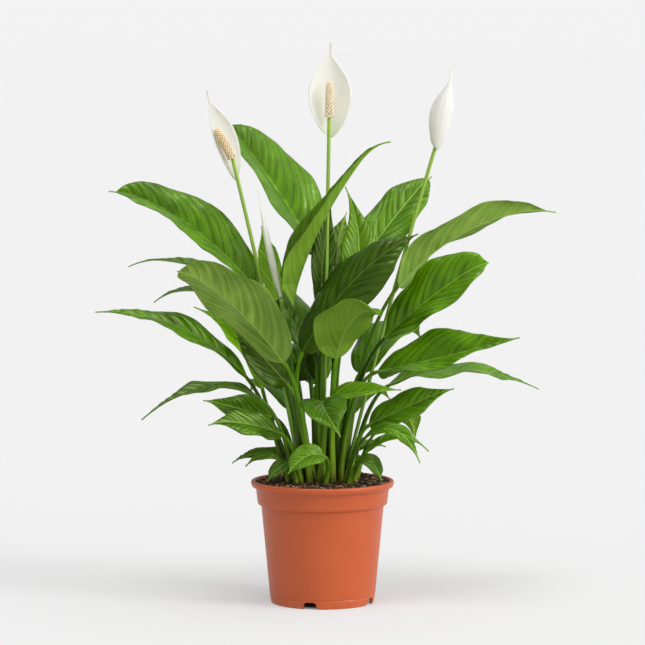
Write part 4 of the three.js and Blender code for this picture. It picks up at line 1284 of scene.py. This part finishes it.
# Moulded polypropylene: smooth and satin, clay-coloured right through, with faint turning marks
def potFinish():
    plan = potColours
    material, tree, surface = newFinish("mouldedPolypropylene")
    place = addNode(tree, "ShaderNodeTexCoord").outputs["Object"]
    cloud = addNode(tree, "ShaderNodeTexNoise", {"Vector": place, "Scale": 1 / (40 * mm), "Detail": 3.0})
    tint = addNode(
        tree, "ShaderNodeMapRange", {"Value": cloud, "From Min": 0.35, "From Max": 0.7, "To Max": 0.25}
    )
    # Low turning marks, a few millimetres apart up the wall
    squashed = addNode(tree, "ShaderNodeMapping", {"Vector": place, "Scale": (6.0, 6.0, 420.0)})
    marks = addNode(tree, "ShaderNodeTexNoise", {"Vector": squashed, "Scale": 1.0, "Detail": 2.0})
    markShare = addNode(
        tree, "ShaderNodeMapRange", {"Value": marks, "From Min": 0.45, "From Max": 0.8, "To Max": 0.1}
    )
    # Scuffs and dried soil dust, thickest at the foot
    specks = addNode(
        tree, "ShaderNodeTexNoise", {"Vector": place, "Scale": 1 / (2.2 * mm), "Detail": 4.0,
        "Roughness": 0.7}
    )
    height = addNode(tree, "ShaderNodeSeparateXYZ", {"Vector": place})
    low = addNode(
        tree, "ShaderNodeMapRange", {"Value": height.outputs["Z"], "From Max": 16 * mm, "To Min": 0.14,
        "To Max": 0.0}
    )
    speckLevel = addNode(tree, "ShaderNodeMath", {0: specks, 1: low}, operation="ADD")
    dustShare = addNode(
        tree, "ShaderNodeMapRange", {"Value": speckLevel, "From Min": 0.66, "From Max": 0.78,
        "To Max": 0.45}
    )
    colour = linear(plan["clay"])
    for key, factor in {"light": tint, "dark": markShare, "dust": dustShare}.items():
        mixed = addNode(
            tree, "ShaderNodeMix", {"Factor": factor, 6: colour, 7: linear(plan[key])}, data_type="RGBA"
        )
        colour = mixed.outputs[2]
    rough = addNode(
        tree, "ShaderNodeMapRange", {"Value": dustShare, "To Min": plan["roughness"],
        "To Max": plan["roughness"] + 0.6}
    )
    fine = addNode(tree, "ShaderNodeTexNoise", {"Vector": place, "Scale": 1 / (0.8 * mm), "Detail": 2.0})
    relief = addNode(tree, "ShaderNodeMath", {0: marks, 1: 0.8, 2: fine}, operation="MULTIPLY_ADD")
    bump = addNode(tree, "ShaderNodeBump", {"Height": relief, "Distance": 0.08 * mm, "Strength": 0.5})
    moulded = {
        "Base Color": colour,
        "Roughness": rough,
        "Normal": bump,
        "Specular IOR Level": plan["gloss"],
    }
    fillInputs(tree, surface, moulded)
    return material


def makePot():
    plan = potPlan
    mesh = latheMesh("pot_moulded", potSection(), plan["segments"])
    pot = addObject("pot_moulded", mesh)
    half = (plan["notchBottom"] / 2, plan["notchTop"] / 2)
    far = plan["base"] + plan["notchStart"]
    near = far - plan["notchReach"]
    cutters = []
    for turn in plan["notchTurns"]:
        top = plan["notchHeight"]
        outline = [(-half[0], -1), (half[0], -1), (half[1], top), (-half[1], top)]
        corners = [(x, -near, z) for x, z in outline] + [(x, -far, z) for x, z in outline]
        faces = [(3, 2, 1, 0), (4, 5, 6, 7), (0, 1, 5, 4), (1, 2, 6, 5), (2, 3, 7, 6), (3, 0, 4, 7)]
        block = makeMesh("notch", corners, faces)
        block.transform(Matrix.Rotation(math.radians(turn), 4, "Z"))
        form = bmesh.new()
        form.from_mesh(block)
        bmesh.ops.recalc_face_normals(form, faces=form.faces)
        bmesh.ops.bevel(form, geom=form.edges, offset=plan["notchRound"] * mm, segments=2, affect="EDGES")
        form.to_mesh(block)
        form.free()
        cutter = addObject("notch", block)
        cut = pot.modifiers.new("notch", "BOOLEAN")
        cut.object = cutter
        cut.operation = "DIFFERENCE"
        cut.solver = "EXACT"
        cutters.append(cutter)
    bpy.context.view_layer.update()
    evaluated = pot.evaluated_get(bpy.context.evaluated_depsgraph_get())
    cutMesh = bpy.data.meshes.new_from_object(evaluated)
    pot.modifiers.clear()
    pot.data = cutMesh
    for cutter in cutters:
        bpy.data.objects.remove(cutter)
    cutMesh.shade_smooth()
    cutMesh.set_sharp_from_angle(angle=math.radians(plan["sharpFrom"]))
    cutMesh.materials.clear()
    cutMesh.materials.append(potFinish())
    finishPiece(pot, "pot")
    print("pot: moulded wall with", len(plan["notchTurns"]), "drain notches")


# Soil

soilPlan = {
    "gap": 0.35,
    "edge": 143,
    "rise": 0.8,
    "lump": 0.8,
    "moundAt": (36, 56),
    "moundHeight": 5,
    "moundSpread": 20,
    "segments": 96,
    "rings": 26,
    "fine": 1.0,  # height of the fine lumps on the surface
    "crumbsAbove": 135,  # no crumbs on the sides of the bed
}

crumbPlan = {
    "Crumb Density": 83000.0,  # to each square metre
    "Crumb Size": 1.5 * mm,
    "Fibre Density": 30000.0,
    "Fibre Length": 9 * mm,
    "Fibre Thickness": 0.36 * mm,
    "Seed": 5,
}

soilColours = {
    "dark": "#1A110A",
    "brown": "#3A2A18",
    "tan": "#70543A",
    "fibre": "#DCAE80",
    "fibreDark": "#70452A",
    "roughness": 0.95,
    "fibreRoughness": 0.8,
}


def soilHeight(x, y):
    plan = soilPlan
    inward = 1 - np.hypot(x, y) / potPlan["band"]
    lumps = np.sin(x * 0.21 + 1) * np.cos(y * 0.17) + 0.6 * np.sin((x - y) * 0.34)
    fromMound = np.hypot(x - plan["moundAt"][0], y - plan["moundAt"][1])
    mound = plan["moundHeight"] * np.exp(-((fromMound / plan["moundSpread"]) ** 2))
    fine = np.sin(x * 0.83 + 2 * np.sin(y * 0.31)) * np.sin(y * 0.77 + 1.7 * np.sin(x * 0.29))
    level = plan["edge"] + plan["rise"] * np.minimum(1, inward * 3)
    return level + plan["lump"] * lumps + mound + plan["fine"] * fine


# Potting compost: dark peat with bark and coir, quite matt
def soilFinish():
    plan = soilColours
    material, tree, surface = newFinish("pottingCompost")
    place = addNode(tree, "ShaderNodeTexCoord").outputs["Object"]
    coarse = addNode(
        tree, "ShaderNodeTexNoise", {"Vector": place, "Scale": 1 / (5 * mm), "Detail": 5.0,
        "Roughness": 0.7}
    )
    ramp = addNode(tree, "ShaderNodeValToRGB", {0: coarse})
    ramp.color_ramp.elements[0].position = 0.38
    ramp.color_ramp.elements[0].color = linear(plan["dark"])
    ramp.color_ramp.elements[1].position = 0.72
    ramp.color_ramp.elements[1].color = linear(plan["tan"])
    ramp.color_ramp.elements.new(0.55).color = linear(plan["brown"])
    bump = addNode(tree, "ShaderNodeBump", {"Height": coarse, "Distance": 1.2 * mm, "Strength": 0.8})
    fillInputs(tree, surface, {"Base Color": ramp, "Roughness": plan["roughness"], "Normal": bump})
    return material


# Coir: dry matt fibres, tan at some places and brown at others
def fibreFinish():
    plan = soilColours
    material, tree, surface = newFinish("coirFibre")
    place = addNode(tree, "ShaderNodeTexCoord").outputs["Object"]
    noise = addNode(tree, "ShaderNodeTexNoise", {"Vector": place, "Scale": 1 / (6 * mm)})
    spread = addNode(tree, "ShaderNodeMapRange", {"Value": noise, "From Min": 0.3, "From Max": 0.7})
    colour = addNode(
        tree, "ShaderNodeMix", {"Factor": spread, 6: linear(plan["fibre"]), 7: linear(plan["fibreDark"])},
        data_type="RGBA"
    )
    fillInputs(tree, surface, {"Base Color": colour.outputs[2], "Roughness": plan["fibreRoughness"]})
    return material


# Tree that strews crumbs and bent fibres over the upward faces of the soil
def makeCrumbTree(soilMaterial, fibreMaterial):
    tree, given = newTree("soilCrumbs", {"Bed": "Geometry", **kindsOf(crumbPlan)}, "Soil")
    bare = addNode(tree, "GeometryNodeSetMaterial", {"Geometry": given["Bed"], "Material": soilMaterial})
    normal = addNode(tree, "GeometryNodeInputNormal")
    upward = addNode(tree, "ShaderNodeSeparateXYZ", {"Vector": normal})
    place = addNode(tree, "GeometryNodeInputPosition")
    placeParts = addNode(tree, "ShaderNodeSeparateXYZ", {"Vector": place})
    isTop = addNode(tree, "ShaderNodeMath", {0: upward.outputs["Z"], 1: 0.3}, operation="GREATER_THAN")
    isHigh = addNode(
        tree, "ShaderNodeMath", {0: placeParts.outputs["Z"], 1: soilPlan["crumbsAbove"] * mm},
        operation="GREATER_THAN"
    )
    chosen = addNode(tree, "ShaderNodeMath", {0: isTop, 1: isHigh}, operation="MULTIPLY")
    crumbSpots = addNode(
        tree, "GeometryNodeDistributePointsOnFaces", {"Mesh": given["Bed"], "Selection": chosen,
        "Density": given["Crumb Density"], "Seed": given["Seed"]}
    )
    ball = addNode(tree, "GeometryNodeMeshIcoSphere", {"Radius": given["Crumb Size"], "Subdivisions": 2})
    lumpScale = addNode(tree, "ShaderNodeMath", {0: 0.7, 1: given["Crumb Size"]}, operation="DIVIDE")
    lumps = addNode(tree, "ShaderNodeTexNoise", {"Vector": place, "Scale": lumpScale, "Detail": 1.0})
    centred = addNode(
        tree, "ShaderNodeVectorMath", {0: lumps.outputs["Color"], 1: (0.5, 0.5, 0.5)}, operation="SUBTRACT"
    )
    pushed = addNode(
        tree, "ShaderNodeVectorMath", {"Vector": centred, "Scale": given["Crumb Size"]}, operation="SCALE"
    )
    doubled = addNode(tree, "ShaderNodeVectorMath", {"Vector": pushed, "Scale": 2.2}, operation="SCALE")
    crumb = addNode(tree, "GeometryNodeSetPosition", {"Geometry": ball, "Offset": doubled})
    turned = addNode(
        tree, "FunctionNodeRandomValue", {"Min": (0.0, 0.0, 0.0), "Max": (6.28, 6.28, 6.28),
        "Seed": given["Seed"]}, data_type="FLOAT_VECTOR"
    )
    dice = addNode(tree, "FunctionNodeRandomValue", {2: 0.0, 3: 1.0, "Seed": given["Seed"]})
    rare = addNode(tree, "ShaderNodeMath", {0: dice.outputs[1], 1: 3.0}, operation="POWER")
    size = addNode(tree, "ShaderNodeMapRange", {"Value": rare, "To Min": 0.35, "To Max": 1.9})
    crumbs = addNode(
        tree, "GeometryNodeInstanceOnPoints", {"Points": crumbSpots, "Instance": crumb, "Rotation": turned,
        "Scale": size}
    )
    fibreSeed = addNode(tree, "ShaderNodeMath", {0: given["Seed"], 1: 7.0}, operation="ADD")
    fibreSpots = addNode(
        tree, "GeometryNodeDistributePointsOnFaces", {"Mesh": given["Bed"], "Selection": chosen,
        "Density": given["Fibre Density"], "Seed": fibreSeed}
    )
    start = addNode(tree, "ShaderNodeCombineXYZ", {"X": -0.5, "Z": -0.03})
    bend = addNode(tree, "ShaderNodeCombineXYZ", {"X": 0.1, "Y": 0.35, "Z": 0.22})
    end = addNode(tree, "ShaderNodeCombineXYZ", {"X": 0.5, "Y": -0.1, "Z": -0.02})
    strand = addNode(
        tree, "GeometryNodeCurveQuadraticBezier", {"Resolution": 8, "Start": start, "Middle": bend,
        "End": end}
    )
    profile = addNode(tree, "GeometryNodeCurvePrimitiveCircle", {"Resolution": 4, "Radius": 1.0})
    slender = addNode(
        tree, "ShaderNodeMath", {0: given["Fibre Thickness"], 1: given["Fibre Length"]}, operation="DIVIDE"
    )
    thin = addNode(tree, "GeometryNodeTransform", {"Geometry": profile, "Scale": slender})
    tube = addNode(
        tree, "GeometryNodeCurveToMesh", {"Curve": strand, "Profile Curve": thin, "Fill Caps": True}
    )
    lay = addNode(
        tree, "FunctionNodeRandomValue", {"Min": (-0.4, -0.4, 0.0), "Max": (0.4, 0.4, 6.28),
        "Seed": fibreSeed}, data_type="FLOAT_VECTOR"
    )
    fibreDice = addNode(tree, "FunctionNodeRandomValue", {2: 0.35, 3: 1.3, "Seed": fibreSeed})
    fibreSize = addNode(
        tree, "ShaderNodeMath", {0: fibreDice.outputs[1], 1: given["Fibre Length"]}, operation="MULTIPLY"
    )
    fibres = addNode(
        tree, "GeometryNodeInstanceOnPoints", {"Points": fibreSpots, "Instance": tube, "Rotation": lay,
        "Scale": fibreSize}
    )
    crumbSet = addNode(tree, "GeometryNodeSetMaterial", {"Geometry": crumbs, "Material": soilMaterial})
    fibreSet = addNode(tree, "GeometryNodeSetMaterial", {"Geometry": fibres, "Material": fibreMaterial})
    whole = addNode(tree, "GeometryNodeJoinGeometry")
    for part in (bare, crumbSet, fibreSet):
        tree.links.new(part.outputs[0], whole.inputs[0])
    real = addNode(tree, "GeometryNodeRealizeInstances", {"Geometry": whole})
    addNode(tree, "NodeGroupOutput", {"Soil": real})
    return tree


def makeSoil():
    plan = soilPlan
    inset = potPlan["wall"] + plan["gap"]
    bottom = potPlan["floorUnderside"] + potPlan["floorThick"] + plan["gap"]
    edge = potPlan["bandTop"] - inset
    section = [
        (0, bottom),
        (potPlan["base"] - 0.8, bottom),
        (potPlan["base"] + 0.7, bottom + 2.2),
        (potPlan["bodyTop"] - inset, potPlan["bandBottom"] + 1.2),
        (potPlan["band"] - inset, potPlan["bandBottom"] + 5.6),
        (edge - 0.2, potPlan["lipBottom"] - 1),
    ]
    section += [(edge * (1 - ring / plan["rings"]), plan["edge"]) for ring in range(plan["rings"] + 1)]
    mesh = latheMesh("soilBed", section, plan["segments"])
    for corner in mesh.vertices:
        if corner.co.z > (plan["edge"] - 0.01) * mm:
            corner.co.z = soilHeight(corner.co.x / mm, corner.co.y / mm) * mm
    tree = makeCrumbTree(soilFinish(), fibreFinish())
    soil = growPiece("soil_grown", mesh, tree, crumbPlan)
    finishPiece(soil, "soil")
    print("soil: bed with crumbs and fibres")


makeStudio()
makePot()
makeSoil()
makeLeaves()
makeFlowers()
